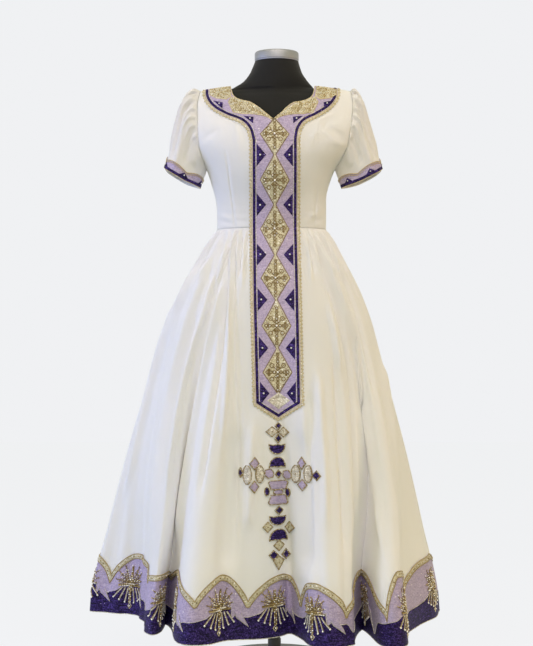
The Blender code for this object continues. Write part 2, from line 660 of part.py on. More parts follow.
def build():
    clear_scene()
    home = collection("Habesha kemis")
    cutters = collection("Cutters")
    white = material("White cotton", (0.80, 0.79, 0.76), 0.85)
    purple = material("Purple band", (0.10, 0.05, 0.22), 0.8)
    lilac = material("Lilac band", (0.52, 0.44, 0.60), 0.8)
    black = material("Form jersey", (0.022, 0.022, 0.022), 0.8)
    metal = material("Brushed aluminium", (0.62, 0.62, 0.62), 0.38, 1.0)
    grey = material("Painted pole", (0.07, 0.07, 0.065), 0.5, 0.2)

    # Bodice: the two sides share their normals where they are sewn.
    turns = hem_columns()
    inner = turns[(turns > -26) & (turns < 32)]  # columns that run on from skirt to bodice under the strip
    shares = np.concatenate([OUTER_SHARES, waist_share(inner)])
    shares = np.unique(np.round(shares, 6))
    picked = np.isin(shares, np.round(waist_share(inner), 6))
    front = bodice(shares, BODICE_UPS, -1)
    behind = np.unique(np.round(np.concatenate([OUTER_SHARES, BACK_SHARES, [SHARE_V]]), 6))
    back = bodice(behind, BODICE_UPS, 1)
    front_n, back_n = normals(front), -normals(back)
    for col in (0, -1):
        sewn = (front[:, col, 2] <= UNDERARM) & (back[:, col, 2] <= UNDERARM)
        joined = unit(front_n[:, col] + back_n[:, col])
        front_n[sewn, col] = back_n[sewn, col] = joined[sewn]
    for share in OUTER_SHARES[(OUTER_SHARES <= SHARE_LEFT) | (OUTER_SHARES >= SHARE_RIGHT)]:
        a, b = int(np.argmin(np.abs(shares - share))), int(np.argmin(np.abs(behind - share)))
        front_n[-1, a] = back_n[-1, b] = unit(front_n[-1, a] + back_n[-1, b])
    cloth("bodice_front", front, front_n, "blrt", white, home)
    middle = int(np.argmin(np.abs(behind - SHARE_V)))
    halves = {"left": slice(0, middle + 1), "right": slice(middle, None)}
    for label, half in halves.items():
        cloth("bodice_back_" + label, back[:, half], back_n[:, half], "blrt", white, home)

    # Skirt, with columns shared with the bodice where the strip crosses the waist.
    top = scallop(turns)
    drops = np.stack([np.full_like(top, d) for d in SKIRT_DROPS] + [top, (top + 1) / 2, np.ones_like(top)])
    whole = skirt(turns[None, :], drops)[::-1]
    whole_n = normals(whole, closed=True)
    ends = [int(np.argmin(np.abs(turns - seam))) for seam in (-90, 90, 180, 270)]
    for part, start, stop in zip(("front", "back_right", "back_left"), ends, ends[1:]):
        span = slice(start, stop + 1)
        cloth("skirt_" + part, whole[:, span], whole_n[:, span], "lrt", white, home)
        band("hem_border_" + part, whole[:3, span], whole_n[:3, span], "lr", purple, home)

    # Yoke, strip and motif: bands cut to their outline.
    yoke = band("neck_yoke_front", front[4:], front_n[4:], "t", lilac, home)
    left, right = list(zip(YOKE["left"], YOKE["z"])), list(zip(YOKE["right"], YOKE["z"]))
    keep(yoke, prism("yoke_outline", left + right[::-1], cutters, y1=0.02))
    outline = [(x, z) for x, z in left if z > 1.41] + [(x, z) for x, z in right if z > 1.41][::-1]
    for label, half in halves.items():
        piece = band("neck_yoke_back_" + label, back[6:, half], back_n[6:, half], "lrt", lilac, home)
        keep(piece, prism("yoke_back_outline_" + label, outline, cutters, y0=-0.02, y1=0.3))

    low = skirt(inner[None, :], np.array(SKIRT_DROPS[1:7])[:, None])
    run = np.concatenate([low[::-1], front[:8, picked]])
    strip = band("front_strip", run, normals(run), "", lilac, home)
    edge = list(zip(STRIP["left"], STRIP["z"])) + [STRIP_TIP] + list(zip(STRIP["right"], STRIP["z"]))[::-1]
    keep(strip, prism("strip_outline", edge, cutters))

    near = (turns > -40) & (turns < 40)
    patch = skirt(turns[None, near], np.array(SKIRT_DROPS[5:])[::-1, None])
    patch = np.concatenate([whole[2:3, near], patch])
    shapes = [diamond(MOTIF_X, z, hx, hz) for z, hx, hz in zip(*MOTIF_STEM.values())]
    for x, z, hx, hz in zip(*MOTIF_ARM.values()):
        shapes += [diamond(MOTIF_X + x, z, hx, hz), diamond(MOTIF_X - x, z, hx, hz)]
    outline = prism("motif_0", shapes[0], cutters)
    for i, shape in enumerate(shapes[1:], 1):
        keep(outline, prism(f"motif_{i}", shape, cutters, -0.7 - i * 0.0007, i * 0.0007), "UNION")
    keep(band("cross_motif", patch, normals(patch), "", purple, home), outline)

    # Sleeves and cuffs.
    for side, label in ((-1, "left"), (1, "right")):
        grid, angle = sleeve(side)
        wave = CUFF * (0.72 + 0.28 * np.abs(np.cos(2.5 * angle)))
        last = grid[-1] - grid[-2]
        share = (wave / np.linalg.norm(last, axis=1))[:, None]
        grid = np.concatenate([grid[:-1], (grid[-1] - last * np.minimum(share, 0.85))[None], grid[-1:]])
        grid[0] += unit(grid[1] - grid[0]) * 0.0022
        if side < 0:
            grid = grid[:, ::-1]
        normal = normals(grid, closed=True)
        if np.sum(normal[-1, :, 0] * (grid[-1, :, 0] - grid[-1, :, 0].mean())) < 0:
            normal = -normal
        cloth("sleeve_" + label, grid, normal, "", white, home, closed=True)
        band("cuff_" + label, grid[-2:], normal[-2:], "", purple, home, closed=True)

    # Form and stand.
    lofted("form_torso", TORSO, black, home)
    low, high = CAP_Z
    cap = [(0, high), (CAP_R - 0.006, high - 0.0004), (CAP_R - 0.0015, high - 0.002), (CAP_R, high - 0.005)]
    turned("neck_cap", cap + [(CAP_R, low + 0.001), (CAP_R - 0.001, low), (0, low)], CAP_X, metal, home)
    pole = [(0, 0.7997), (POLE_R, 0.7997), (POLE_R, BASE_H + 0.0003), (0, BASE_H + 0.0003)]
    turned("stand_pole", pole, POLE_X, grey, home, 28)
    plate = [(0, BASE_H), (BASE_R - 0.004, BASE_H), (BASE_R, BASE_H - 0.004), (BASE_R, 0.0), (0, 0.0)]
    turned("stand_base", plate, 0.0, grey, home, 48)


build()
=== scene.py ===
"""Looks of the habesha kemis on its dress form: cloth, woven bands, applique, couched gold
cord, beads, form, stand, light and camera. Metres, +Z up, the wearer faces -Y."""

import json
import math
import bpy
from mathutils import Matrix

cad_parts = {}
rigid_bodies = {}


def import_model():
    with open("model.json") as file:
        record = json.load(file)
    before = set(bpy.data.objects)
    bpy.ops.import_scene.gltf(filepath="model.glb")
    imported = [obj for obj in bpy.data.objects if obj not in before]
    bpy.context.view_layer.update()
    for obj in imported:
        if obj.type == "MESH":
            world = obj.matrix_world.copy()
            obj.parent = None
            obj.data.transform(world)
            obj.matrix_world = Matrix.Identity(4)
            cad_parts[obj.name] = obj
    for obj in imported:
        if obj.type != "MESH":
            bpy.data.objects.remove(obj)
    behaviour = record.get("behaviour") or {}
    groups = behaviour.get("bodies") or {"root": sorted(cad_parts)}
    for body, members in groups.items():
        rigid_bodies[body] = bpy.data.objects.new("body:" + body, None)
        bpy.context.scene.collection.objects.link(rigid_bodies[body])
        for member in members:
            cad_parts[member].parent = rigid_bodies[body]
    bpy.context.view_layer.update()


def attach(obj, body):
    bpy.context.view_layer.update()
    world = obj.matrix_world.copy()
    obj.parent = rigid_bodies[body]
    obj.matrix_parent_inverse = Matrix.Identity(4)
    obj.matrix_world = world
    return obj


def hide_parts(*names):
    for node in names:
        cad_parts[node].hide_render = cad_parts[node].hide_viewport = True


bl_info = {
    "name": "Habesha Kemis",
    "version": (1, 0, 0),
    "blender": (4, 5, 0),
    "location": "View3D > Sidebar > Kemis",
    "description": "Dresses the packed kemis in cloth, bands, applique, cord and beads",
    "category": "Object",
}

import bpy
import numpy as np
from bpy.props import FloatProperty, FloatVectorProperty, PointerProperty
from mathutils import Matrix, Vector
from mathutils.geometry import delaunay_2d_cdt

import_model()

WAIST, HEM = 1.1195, 0.130
UNDERARM = 1.275
NECK_LEFT, NECK_RIGHT = -0.1150, 0.1030
YOKE_LOW = 1.334  # where the yoke ends and the strip begins
STRIP_TIP = (0.0068, 0.642)
SEAM_V = (-0.0040, 1.3889)  # the centre back seam is the column through this x and z
SLEEVE_HALF_DEPTH = 0.066
CUFF = 0.030
BAND = 0.0012  # thickness of a woven band
CLOTH_TOP = 0.0017  # outer face of a woven band above the cloth under it
ROUND = 2 * np.pi


def table(names, text):
    """Columns of numbers by name, from rows parted by bars."""
    columns = zip(*([float(word) for word in row.split()] for row in text.split("|")))
    return {name: np.array(column) for name, column in zip(names.split(), columns)}


# Outer face of the cloth, one row for each level section. power 2 is an ellipse, 1 a diamond.
FIGURE = table("z half centre front back power", """
    1.1195 .1415 -.009 .102 .098 2 | 1.16 .1415 -.0085 .105 .101 2 | 1.197 .1435 -.0105 .114 .106 2 |
    1.244 .1548 -.0117 .132 .113 2.1 | 1.275 .1665 -.0105 .139 .119 2.15 | 1.306 .19 -.007 .14 .123 2.2 |
    1.34 .214 -.004 .134 .125 2.2 | 1.371 .221 -.002 .124 .124 2.2 | 1.41 .223 0 .106 .118 2 |
    1.446 .219 0 .086 .104 1.7 | 1.467 .208 0 .073 .087 1.4 | 1.48 .1935 .001 .065 .074 1.2 |
    1.487 .156 .001 .061 .066 1.2 | 1.4915 .11 -.005 .058 .06 1.4""")
# Side seam to the underarm, then the armhole to the shoulder tip.
SIDE = table("z left right", """
    1.1195 -.1505 .1325 | 1.16 -.15 .133 | 1.197 -.154 .133 | 1.244 -.1665 .1431 | 1.275 -.177 .156 |
    1.306 -.187 .174 | 1.334 -.1945 .185 | 1.37 -.1975 .192 | 1.403 -.1995 .1975 | 1.44 -.2 .2 | 1.467 -.1965 .199 |
    1.48 -.1925 .1945""")
NECK_FRONT = table("x z", """
    -.115 1.49 | -.1095 1.466 | -.1 1.453 | -.0854 1.4455 | -.063 1.4389 | -.0385 1.4214 | -.004 1.3889 |
    .027 1.4225 | .045 1.4366 | .0674 1.4422 | .0855 1.45 | .097 1.464 | .103 1.49""")
NECK_BACK = table("x z", """
    -.115 1.49 | -.095 1.478 | -.05 1.47 | 0 1.468 | .045 1.47 | .085 1.478 | .103 1.49""")
YOKE = table("z left right", """
    1.3345 -.0612 .0583 | 1.345 -.0635 .059 | 1.366 -.0703 .064 | 1.385 -.0885 .0775 | 1.3995 -.121 .104 |
    1.4218 -.156 .136 | 1.44 -.172 .152 | 1.4555 -.18 .1605 | 1.47 -.1835 .1635 | 1.56 -.185 .165""")
STRIP = table("z left right", """
    1.334 -.0612 .0583 | 1.24 -.061 .0583 | 1.115 -.0612 .0587 | .935 -.0585 .0615 | .68 -.052 .0655""")
# Folds of the skirt: the angle where the cloth leaves the waist, and where it stands at the hem.
FOLDS = table("turn x y", """
    -90 -.478 0 | -83 -.42 -.028 | -74 -.362 -.052 | -63 -.329 -.136 | -54 -.316 -.235 | -46 -.3 -.297 |
    -40 -.281 -.262 | -35 -.274 -.17 | -31 -.25 -.255 | -27 -.226 -.382 | -21 -.16 -.402 | -15 -.11 -.352 |
    -8 -.05 -.345 | -2 -.006 -.325 | 4 .03 -.282 | 9 .052 -.31 | 16 .084 -.412 | 26 .128 -.44 | 38 .174 -.408 |
    49 .191 -.315 | 56 .213 -.23 | 60 .229 -.325 | 64 .25 -.42 | 69 .298 -.41 | 73 .317 -.295 | 78 .345 -.2 |
    84 .404 -.085 | 90 .426 0 | 98 .398 .078 | 106 .356 .13 | 113 .366 .215 | 120 .326 .268 | 127 .266 .232 |
    134 .248 .312 | 141 .212 .372 | 150 .152 .358 | 157 .112 .298 | 164 .086 .338 | 172 .042 .4 | 180 -.026 .408 |
    188 -.082 .362 | 195 -.108 .302 | 203 -.154 .335 | 211 -.204 .39 | 219 -.256 .362 | 226 -.276 .286 |
    234 -.31 .276 | 242 -.362 .27 | 250 -.396 .2 | 257 -.386 .122 | 264 -.432 .062 | 270 -.478 0""")
HEM_RING = (-0.026, 0.452, 0.345, 0.350)  # centre, half width, front and back of the unfolded hem
FLARE = table("drop reach fold", """
    0 0 0 | .04 .078 .003 | .08 .15 .012 | .157 .287 .038 | .236 .392 .08 | .315 .467 .13 | .394 .54 .188 |
    .473 .612 .255 | .55 .68 .335 | .63 .746 .43 | .709 .808 .555 | .787 .867 .72 | .866 .933 .895 | .945 .985 .98 |
    1 1 1""")
# The form under the cloth, and its hips below the waist.
TORSO = table("z half centre front back power", """
    .8 .1 -.002 .07 .08 2.2 | .806 .13 -.002 .092 .105 2.2 | .83 .158 -.003 .108 .128 2.2 |
    .9 .17 -.004 .112 .136 2.2 | 1.02 .155 -.007 .102 .112 2.1 | 1.08 .139 -.008 .096 .094 2 |
    1.1195 .1365 -.009 .096 .092 2 | 1.16 .1365 -.0085 .099 .095 2 | 1.197 .1385 -.0105 .108 .1 2 |
    1.244 .149 -.0117 .126 .107 2.1 | 1.275 .159 -.0105 .133 .113 2.1 | 1.306 .17 -.008 .134 .117 2.1 |
    1.34 .18 -.005 .128 .119 2.1 | 1.371 .186 -.002 .117 .118 2.1 | 1.41 .189 0 .099 .112 1.9 |
    1.44 .188 0 .083 .099 1.65 | 1.46 .183 0 .07 .084 1.4 | 1.473 .172 0 .059 .07 1.25 |
    1.48 .14 0 .0555 .061 1.25 | 1.485 .111 -.005 .0565 .06 1.45 | 1.4925 .0985 -.002 .056 .059 1.6 |
    1.5013 .087 .0013 .056 .058 1.75 | 1.51 .079 .0025 .0555 .0575 1.9 | 1.524 .069 .003 .0555 .057 2 |
    1.539 .0625 .0035 .0555 .0565 2 | 1.5562 .0565 .0045 .0545 .055 2""")
# Sleeves: where the outer edge stands at each step from head to hem, and the underside edge.
SLEEVE = table("lx lz rx rz ux uz depth", """
    0 0 0 0 0 0 0 | -.017 .0045 .01 .005 -.0005 -.002 .1 | -.035 -.006 .0235 -.008 -.0015 -.005 .22 |
    -.049 -.029 .033 -.033 -.003 -.01 .4 | -.059 -.064 .043 -.072 -.0055 -.016 .6 |
    -.069 -.109 .055 -.115 -.009 -.024 .8 | -.079 -.156 .069 -.161 -.014 -.035 .93 |
    -.0925 -.199 .0805 -.203 -.0185 -.047 1""")


def cubic(at, xs, ys, step, tangent):
    i = np.clip(np.searchsorted(xs, at, "right") - 1, 0, len(step) - 1)
    t = (at - xs[i]) / step[i]
    return (
        (2 * t**3 - 3 * t**2 + 1) * ys[i]
        + (t**3 - 2 * t**2 + t) * step[i] * tangent[i]
        + (3 * t**2 - 2 * t**3) * ys[i + 1]
        + (t**3 - t**2) * step[i] * tangent[i + 1]
    )


def smooth(at, xs, ys):
    """Smooth curve through points, without overshoot."""
    at = np.clip(np.asarray(at, float), xs[0], xs[-1])
    step = np.diff(xs)
    slope = np.diff(ys) / step
    tangent = np.concatenate([slope[:1], (slope[1:] + slope[:-1]) / 2, slope[-1:]])
    tangent[1:-1][slope[1:] * slope[:-1] <= 0] = 0
    limit = 3 * np.minimum(np.abs(slope[1:]), np.abs(slope[:-1]))
    tangent[1:-1] = np.clip(tangent[1:-1], -limit, limit)
    return cubic(at, xs, ys, step, tangent)


def loop(at, xs, ys):
    """Free smooth curve through closed points, whose last repeats the first."""
    step = np.diff(xs)
    slope = np.diff(ys) / step
    before = np.roll(step, 1)
    inner = (np.roll(slope, 1) * step + slope * before) / (before + step)
    return cubic(at, xs, ys, step, np.append(inner, inner[0]))


def curve(rows, name, at):
    """A table's column where its first column is at."""
    return smooth(at, next(iter(rows.values())), rows[name])


def strip_edge(name, z):
    return smooth(z, STRIP["z"][::-1], STRIP[name][::-1])


def side_name(side):
    return "left" if side < 0 else "right"


def skin(x, z, side):
    """Depth of the figure's front (side -1) or back (side 1) at x, z."""
    power = curve(FIGURE, "power", z)
    across = np.clip(np.abs(x - curve(FIGURE, "centre", z)) / curve(FIGURE, "half", z), 0, 1)
    return side * curve(FIGURE, "front" if side < 0 else "back", z) * (1 - across**power) ** (1 / power)


RIDGE_Z = np.linspace(1.42, 1.4915, 400)
RIDGE_LEFT, RIDGE_RIGHT = (curve(FIGURE, "centre", RIDGE_Z) + s * curve(FIGURE, "half", RIDGE_Z) for s in (-1, 1))


def ridge(x):
    """Height of the shoulder line."""
    return np.where(x > 0, np.interp(-x, -RIDGE_RIGHT, RIDGE_Z), np.interp(x, RIDGE_LEFT, RIDGE_Z))


def bodice_x(share, z):
    """Place of a bodice column, by its share of the way from the left edge to the right."""
    left, right = curve(SIDE, "left", z), curve(SIDE, "right", z)
    return left + (right - left) * share


def bodice(share, up, side):
    """Points of the bodice's whole front or back: share from left to right, up from waist to top."""
    neck = NECK_FRONT if side < 0 else NECK_BACK
    top = np.full_like(share, 1.47)
    for _ in range(12):
        x = bodice_x(share, top)
        at_neck = (x > NECK_LEFT) & (x < NECK_RIGHT)
        top = np.where(at_neck, curve(neck, "z", x), ridge(x))
    z = WAIST + (top[None, :] - WAIST) * up[:, None]
    x = bodice_x(share[None, :], z)
    y = skin(x, z, side)
    y[:, [0, -1]] = np.where(z[:, [0, -1]] <= UNDERARM, 0.0, y[:, [0, -1]])
    y[-1, ~at_neck & (up.max() == 1)] = 0.0
    return np.stack([x, y, z], axis=2)


def ring(turn, centre, half, front, back):
    angle = np.radians(turn)
    deep = np.where(np.cos(angle) > 0, front, back)
    return np.stack([centre + half * np.sin(angle), -deep * np.cos(angle)], axis=-1)


def skirt(turn, drop):
    """Outer face of the skirt at an angle round the waist and a share of its length down."""
    turn, drop = np.broadcast_arrays(np.asarray(turn, float), np.asarray(drop, float))
    wrapped = np.where(turn < -90, turn + 360, turn)
    waist = ring(turn, *(FIGURE[k][0] for k in ("centre", "half", "front", "back")))
    plain = ring(turn, *HEM_RING)
    folded = np.stack([loop(wrapped, FOLDS["turn"], FOLDS[k]) for k in "xy"], axis=-1)
    reach, depth = (curve(FLARE, k, drop)[..., None] for k in ("reach", "fold"))
    flat = waist + reach * (plain - waist) + depth * (folded - plain)
    z = WAIST - (WAIST - HEM) * drop
    return np.concatenate([flat, z[..., None]], axis=-1)


def run_of(path):
    """Distance along a path at each of its points."""
    return np.concatenate([[0], np.cumsum(np.linalg.norm(np.diff(path, axis=0), axis=1))])


HEM_TURNS = np.linspace(-90, 270, 1441)
HEM_LENGTH = run_of(skirt(HEM_TURNS, 1.0)[:, :2])
HEM_TOTAL = float(HEM_LENGTH[-1])
# Scallops of the hem border along the front: where each starts, its height there, its peak and
# the height of that, along the hem from the left side seam.
SCALLOPS = table("start low peak high", """
    .053 .098 .1305 .157 | .2855 .119 .4335 .141 | .5393 .125 .645 .15 | .786 .098 .8615 .153 |
    .937 .088 1.0335 .145 | 1.13 .09 1.217 .142 | 1.304 .081 1.4838 .145 | 1.72 .082 1.755 .164 |
    1.895 .112 2.15 .154""")
BACK_START, BACK_SCALLOPS, BACK_LOW, BACK_HIGH = 2.2997, 11, 0.090, 0.150
STARTS = np.append(SCALLOPS["start"], np.linspace(BACK_START, HEM_LENGTH[-1] + SCALLOPS["start"][0], BACK_SCALLOPS + 1))
LOWS = np.concatenate([SCALLOPS["low"], np.full(BACK_SCALLOPS, BACK_LOW), SCALLOPS["low"][:1]])
PEAKS = np.append(SCALLOPS["peak"], (STARTS[9:-1] + STARTS[10:]) / 2)
HIGHS = np.append(SCALLOPS["high"], np.full(BACK_SCALLOPS, BACK_HIGH))


def border_height(along):
    """Height of the border's upper edge above the hem, at a distance along the hem."""
    i = np.clip(np.searchsorted(STARTS, along, "right") - 1, 0, len(PEAKS) - 1)
    rising = along <= PEAKS[i]
    foot, low = (np.where(rising, ends[i], ends[i + 1]) for ends in (STARTS, LOWS))
    t = (along - foot) / (PEAKS[i] - foot)
    return low + (HIGHS[i] - low) * np.sin(np.clip(t, 0, 1) * np.pi / 2) ** 0.75


# ---------------------------------------------------------------- creases of the white cloth

# Creases that run down from the waist: angle, width in degrees, shares of the length where each
# begins and ends, and how far it stands out.
CREASES = table("turn width top bottom rise", """
    -84 5 .02 .7 .005 | -76 2.6 0 .36 -.0045 | -70 3.2 .01 .55 .005 | -64 2.2 0 .3 -.004 | 72 2.4 0 .32 -.004 |
    78 3.4 .01 .6 .0048 | 85 3 0 .4 -.0042 | 93 2.8 0 .5 .0046 | 99 2.4 0 .34 -.0044 | 105 3 0 .72 .0048 |
    112 2.2 0 .3 -.004 | 117 2.4 0 .55 .0044 | 124 2.6 0 .38 -.0046 | 131 3.2 .01 .66 .0048 | 137 2 0 .28 -.0038 |
    143 2.6 0 .46 .0044 | 150 2.2 0 .6 -.0044 | 156 2.4 0 .33 .0042 | 163 3 0 .52 -.0044 | 170 2.4 0 .7 .0046 |
    176 1.8 0 .3 -.0036 | 184 2 0 .34 -.0038 | 190 2.6 0 .62 .0046 | 197 2.4 0 .4 -.0044 | 203 2.2 0 .32 .0042 |
    210 2.8 0 .55 -.0044 | 217 2.6 .01 .74 .0048 | 224 2.2 0 .3 -.004 | 230 2.6 0 .48 .0044 | 237 2.4 0 .36 -.0046 |
    244 3 0 .68 .0048 | 251 2.2 0 .31 -.004 | 257 2.8 0 .52 .0046 | 264 2.4 0 .38 -.0042""")
# Long creases of the skirt's front, drawn as seen from ahead: width, how far each stands out, and
# its places x, z from the waist down.
LINES = """
    .0062 .0147 -.118 1.08 -.128 .98 -.144 .903 -.163 .818 -.178 .741 -.196 .648 -.213 .555 -.228 .461 -.237 .385
    -.24 .29 | .0066 -.0153 -.114 1.07 -.123 .981 -.128 .9 -.134 .802 -.144 .735 -.16 .635 -.174 .538 -.186 .44 |
    .0058 .0109 -.11 1.06 -.112 .981 -.114 .852 -.119 .751 -.126 .636 -.134 .52 |
    .0071 -.0137 -.104 1.05 -.105 .938 -.101 .852 -.096 .751 -.09 .652 -.087 .569 -.092 .44 -.095 .3 |
    .0071 .0132 -.158 1.05 -.19 .965 -.214 .904 -.245 .791 -.27 .679 -.287 .577 -.3 .459 -.306 .33 |
    .0058 -.0114 -.196 .905 -.226 .8 -.25 .69 -.268 .58 -.281 .46 |
    .0058 .0119 -.14 1.06 -.155 .999 -.176 .912 -.203 .826 -.225 .741 -.243 .648 -.258 .548 -.27 .44 |
    .0075 .0124 -.19 1.03 -.223 .966 -.259 .904 -.291 .815 -.318 .726 -.345 .62 -.367 .513 -.394 .409 |
    .0058 -.0156 .108 1.075 .115 1.034 .131 .982 .148 .938 .165 .878 .177 .818 .188 .749 .193 .682 .195 .599 .195
    .45 .195 .27 |
    .0071 .0143 .122 1.06 .139 1.008 .158 .956 .184 .886 .203 .817 .213 .74 .225 .663 .236 .579 .246 .489 .253 .38
    .253 .31 | .0083 -.0114 .148 .8 .152 .742 .157 .602 .162 .505 .166 .418 .171 .32 |
    .0066 .0105 .13 .93 .146 .852 .154 .793 .156 .7 |
    .0066 -.0109 .16 1.02 .186 .965 .207 .913 .227 .826 .243 .74 .256 .64 |
    .0083 .0114 .27 .79 .289 .657 .3 .507 .301 .389 .297 .3 |
    .0108 -.0119 .086 .72 .086 .64 .078 .54 .07 .44 .064 .282 | .0091 .0109 .104 .76 .109 .636 .116 .523 .118 .39 |
    .0099 .0105 -.057 .64 -.061 .521 -.066 .38 | .0047 .0071 -.13 1.112 -.15 1.07 -.172 1.02 -.195 .98 -.225 .913 |
    .0046 -.0075 -.126 1.113 -.138 1.06 -.152 1.01 -.17 .96 -.186 .921 |
    .0042 .0071 -.119 1.114 -.129 1.052 -.141 .999 -.154 .938 |
    .0042 -.0075 -.112 1.114 -.121 1.05 -.13 .99 -.14 .93 | .0038 .0071 -.104 1.114 -.112 1.043 -.119 .981 |
    .0038 -.0071 -.097 1.114 -.104 1.04 -.108 .99 | .0036 .0068 -.09 1.114 -.097 1.034 -.1 .963 |
    .0036 -.0068 -.083 1.114 -.089 1.034 -.091 .97 | .0034 .0064 -.076 1.114 -.081 1.033 -.083 .955 |
    .0032 -.0054 -.07 1.114 -.073 1.04 -.074 .98 | .0034 .0064 .077 1.114 .086 1.034 .09 .955 |
    .0034 -.0068 .084 1.114 .096 1.034 .102 .97 | .0038 .0071 .091 1.114 .108 1.034 .118 .973 |
    .0038 -.0064 .097 1.114 .116 1.04 .128 .99 | .004 .0071 .104 1.114 .126 1.044 .145 .991 |
    .0042 -.0071 .11 1.113 .138 1.05 .16 1 | .0044 .0075 .117 1.112 .15 1.048 .188 .978 |
    .02 -.014 -.096 .62 -.102 .5 -.108 .4 -.111 .28 | .018 -.012 .062 .62 .068 .5 .075 .4 .078 .28"""
# Angles of the strip's two edges at five shares of the skirt's length.
STRIP_DROPS = (0.0, 0.06, 0.14, 0.28, 0.44)
STRIP_TURNS = ((-21.6, -16.4, -12.3, -9.2, -7.5), (28.6, 23.5, 19.7, 17.1, 15.7))
# Darts and pulls of the bodice: a line from x, z to x, z, its width and how far it stands out.
PULLS = table("x0 z0 x1 z1 width rise", """
    -.124 1.308 -.1012 1.12 .0022 -.0046 | .1075 1.235 .1 1.12 .0022 -.0042 | -.115 1.28 -.096 1.12 .008 .0018 |
    .098 1.24 .092 1.12 .008 .0016 | .125 1.175 .08 1.14 .006 .0028 | .128 1.15 .09 1.13 .005 -.0024 |
    -.145 1.16 -.11 1.138 .006 .0024 | -.149 1.145 -.1 1.126 .0045 -.0021 | .185 1.345 .13 1.372 .009 -.0039 |
    .182 1.325 .14 1.34 .008 .0032 | -.19 1.34 -.15 1.365 .009 -.0035 | .16 1.4 .105 1.372 .011 -.0028 |
    .12 1.405 .09 1.33 .009 .0021 | -.105 1.395 -.085 1.3 .01 .0018""")
# Long folds of a sleeve: angle, width, rise, first and last step.
SLEEVE_FOLDS = table("at width rise first last", """
    .95 .13 -.005 .5 6.6 | 1.35 .15 .0042 .6 6.9 | .52 .12 .004 1 6.4 | .2 .1 -.003 1.6 6 | 1.8 .12 -.0042 .8 5.8 |
    2.2 .14 .0036 .6 5 | -.35 .12 .0034 1.2 6.2 | -.75 .13 -.0044 .6 6.6 | -1.2 .15 .0042 .5 6.8 |
    -1.65 .13 -.0038 .8 5.6 | -2.1 .14 .0034 .9 5.4""")


def unit(vectors):
    return vectors / np.maximum(np.linalg.norm(vectors, axis=-1, keepdims=True), 1e-12)


def step_up(value, start, stop):
    t = np.clip((value - start) / (stop - start), 0, 1)
    return t * t * (3 - 2 * t)


def swell(value, middle, width):
    """Soft hump, 1 in the middle and nothing beyond twice its width."""
    t = np.clip(np.abs(value - middle) / (2 * width), 0, 1)
    return (1 - t * t) ** 3


def from_line(x, z, x0, z0, x1, z1):
    """Distance from a straight line, and the share of it that is passed."""
    dx, dz = x1 - x0, z1 - z0
    t = np.clip(((x - x0) * dx + (z - z0) * dz) / (dx * dx + dz * dz), 0, 1)
    return np.hypot(x - x0 - t * dx, z - z0 - t * dz), t


def fine_gathers(turn, drop):
    """The small crowded gathers under the waist seam, uneven in width and length."""
    wave = turn * 0.92 + 6.0 * np.sin(turn * 0.19 + 0.7) + 3.1 * np.sin(turn * 0.41 + 2.1)
    length = 0.13 + 0.05 * np.sin(turn * 0.53 + 1.0) + 0.03 * np.sin(turn * 1.7)
    fade = step_up(drop, 0.0, 0.010) * (1 - step_up(drop, 0.25 * length, 1.6 * length))
    shape = np.sin(wave) + 0.45 * np.sin(2.3 * wave + 1.2)
    return 0.0030 * shape * fade


def strip_shade(turn, drop):
    """1 on the free cloth, 0 under the front strip, which holds the cloth flat."""
    left, right = (np.interp(drop, STRIP_DROPS, edges) for edges in STRIP_TURNS)
    held = step_up(turn, left - 2.4, left) * (1 - step_up(turn, right, right + 2.4))
    return 1 - held * (1 - step_up(drop, 0.47, 0.50))


def drawn(x, z):
    """How far the long creases push the front's cloth out at x, z."""
    total = np.zeros(np.shape(x))
    for row in LINES.split("|"):
        width, rise, *path = map(float, row.split())
        path = list(zip(path[::2], path[1::2]))
        far, near = np.full(np.shape(x), 9.0), np.zeros(np.shape(x))
        run = np.cumsum([0] + [math.dist(a, b) for a, b in zip(path, path[1:])])
        for start, a, b in zip(run, path, path[1:]):
            gap, t = from_line(x, z, *a, *b)
            near = np.where(gap < far, start + t * math.hypot(b[0] - a[0], b[1] - a[1]), near)
            far = np.minimum(far, gap)
        lasting = 0.86 if path[-1][1] < 0.47 else 0.62
        fade = step_up(near, -0.01, 0.05) * (1 - step_up(near, lasting * run[-1], run[-1]))
        total += rise * swell(far, 0, width) * fade
    return total


def creases(turn, drop):
    """How far gathers, creases and low waves push the skirt's cloth out."""
    total = fine_gathers(turn, drop) * np.where(np.abs(turn) < 62, 0.55, 1.0)
    for angle, width, top, bottom, rise in zip(*CREASES.values()):
        far = np.abs(np.mod(turn - angle + 180, 360) - 180)
        if (far < 2.2 * width).any():
            run = step_up(drop, top, top + 0.03) * (1 - step_up(drop, 0.35 * bottom, bottom))
            total = total + rise * 0.8 * swell(far, 0, width) * run
    low = step_up(drop, 0.25, 0.6) * (0.0022 * np.sin(turn * 0.47 + 1.3) + 0.0016 * np.sin(turn * 0.83 + 0.4))
    free = strip_shade(turn, drop)
    return total * free + low * (0.25 + 0.75 * free)


def skirt_cloth(turn, drop):
    """Outer face of the skirt with its creases."""
    turn, drop = np.broadcast_arrays(np.asarray(turn, float), np.asarray(drop, float))
    here = skirt(turn, drop)
    along = skirt(turn + 0.12, drop) - here
    outward = unit(np.stack([along[..., 1], -along[..., 0], np.zeros_like(drop)], axis=-1))
    wrapped = np.where(turn < -90, turn + 360, turn)
    wrapped = np.where(wrapped > 269.99, -90.0, wrapped)
    ahead = (wrapped < 90) * np.clip(-outward[..., 1] / 0.35, 0, 1)
    rise = creases(wrapped, drop) + ahead * drawn(here[..., 0], here[..., 2]) * strip_shade(turn, drop)
    return here + outward * rise[..., None]


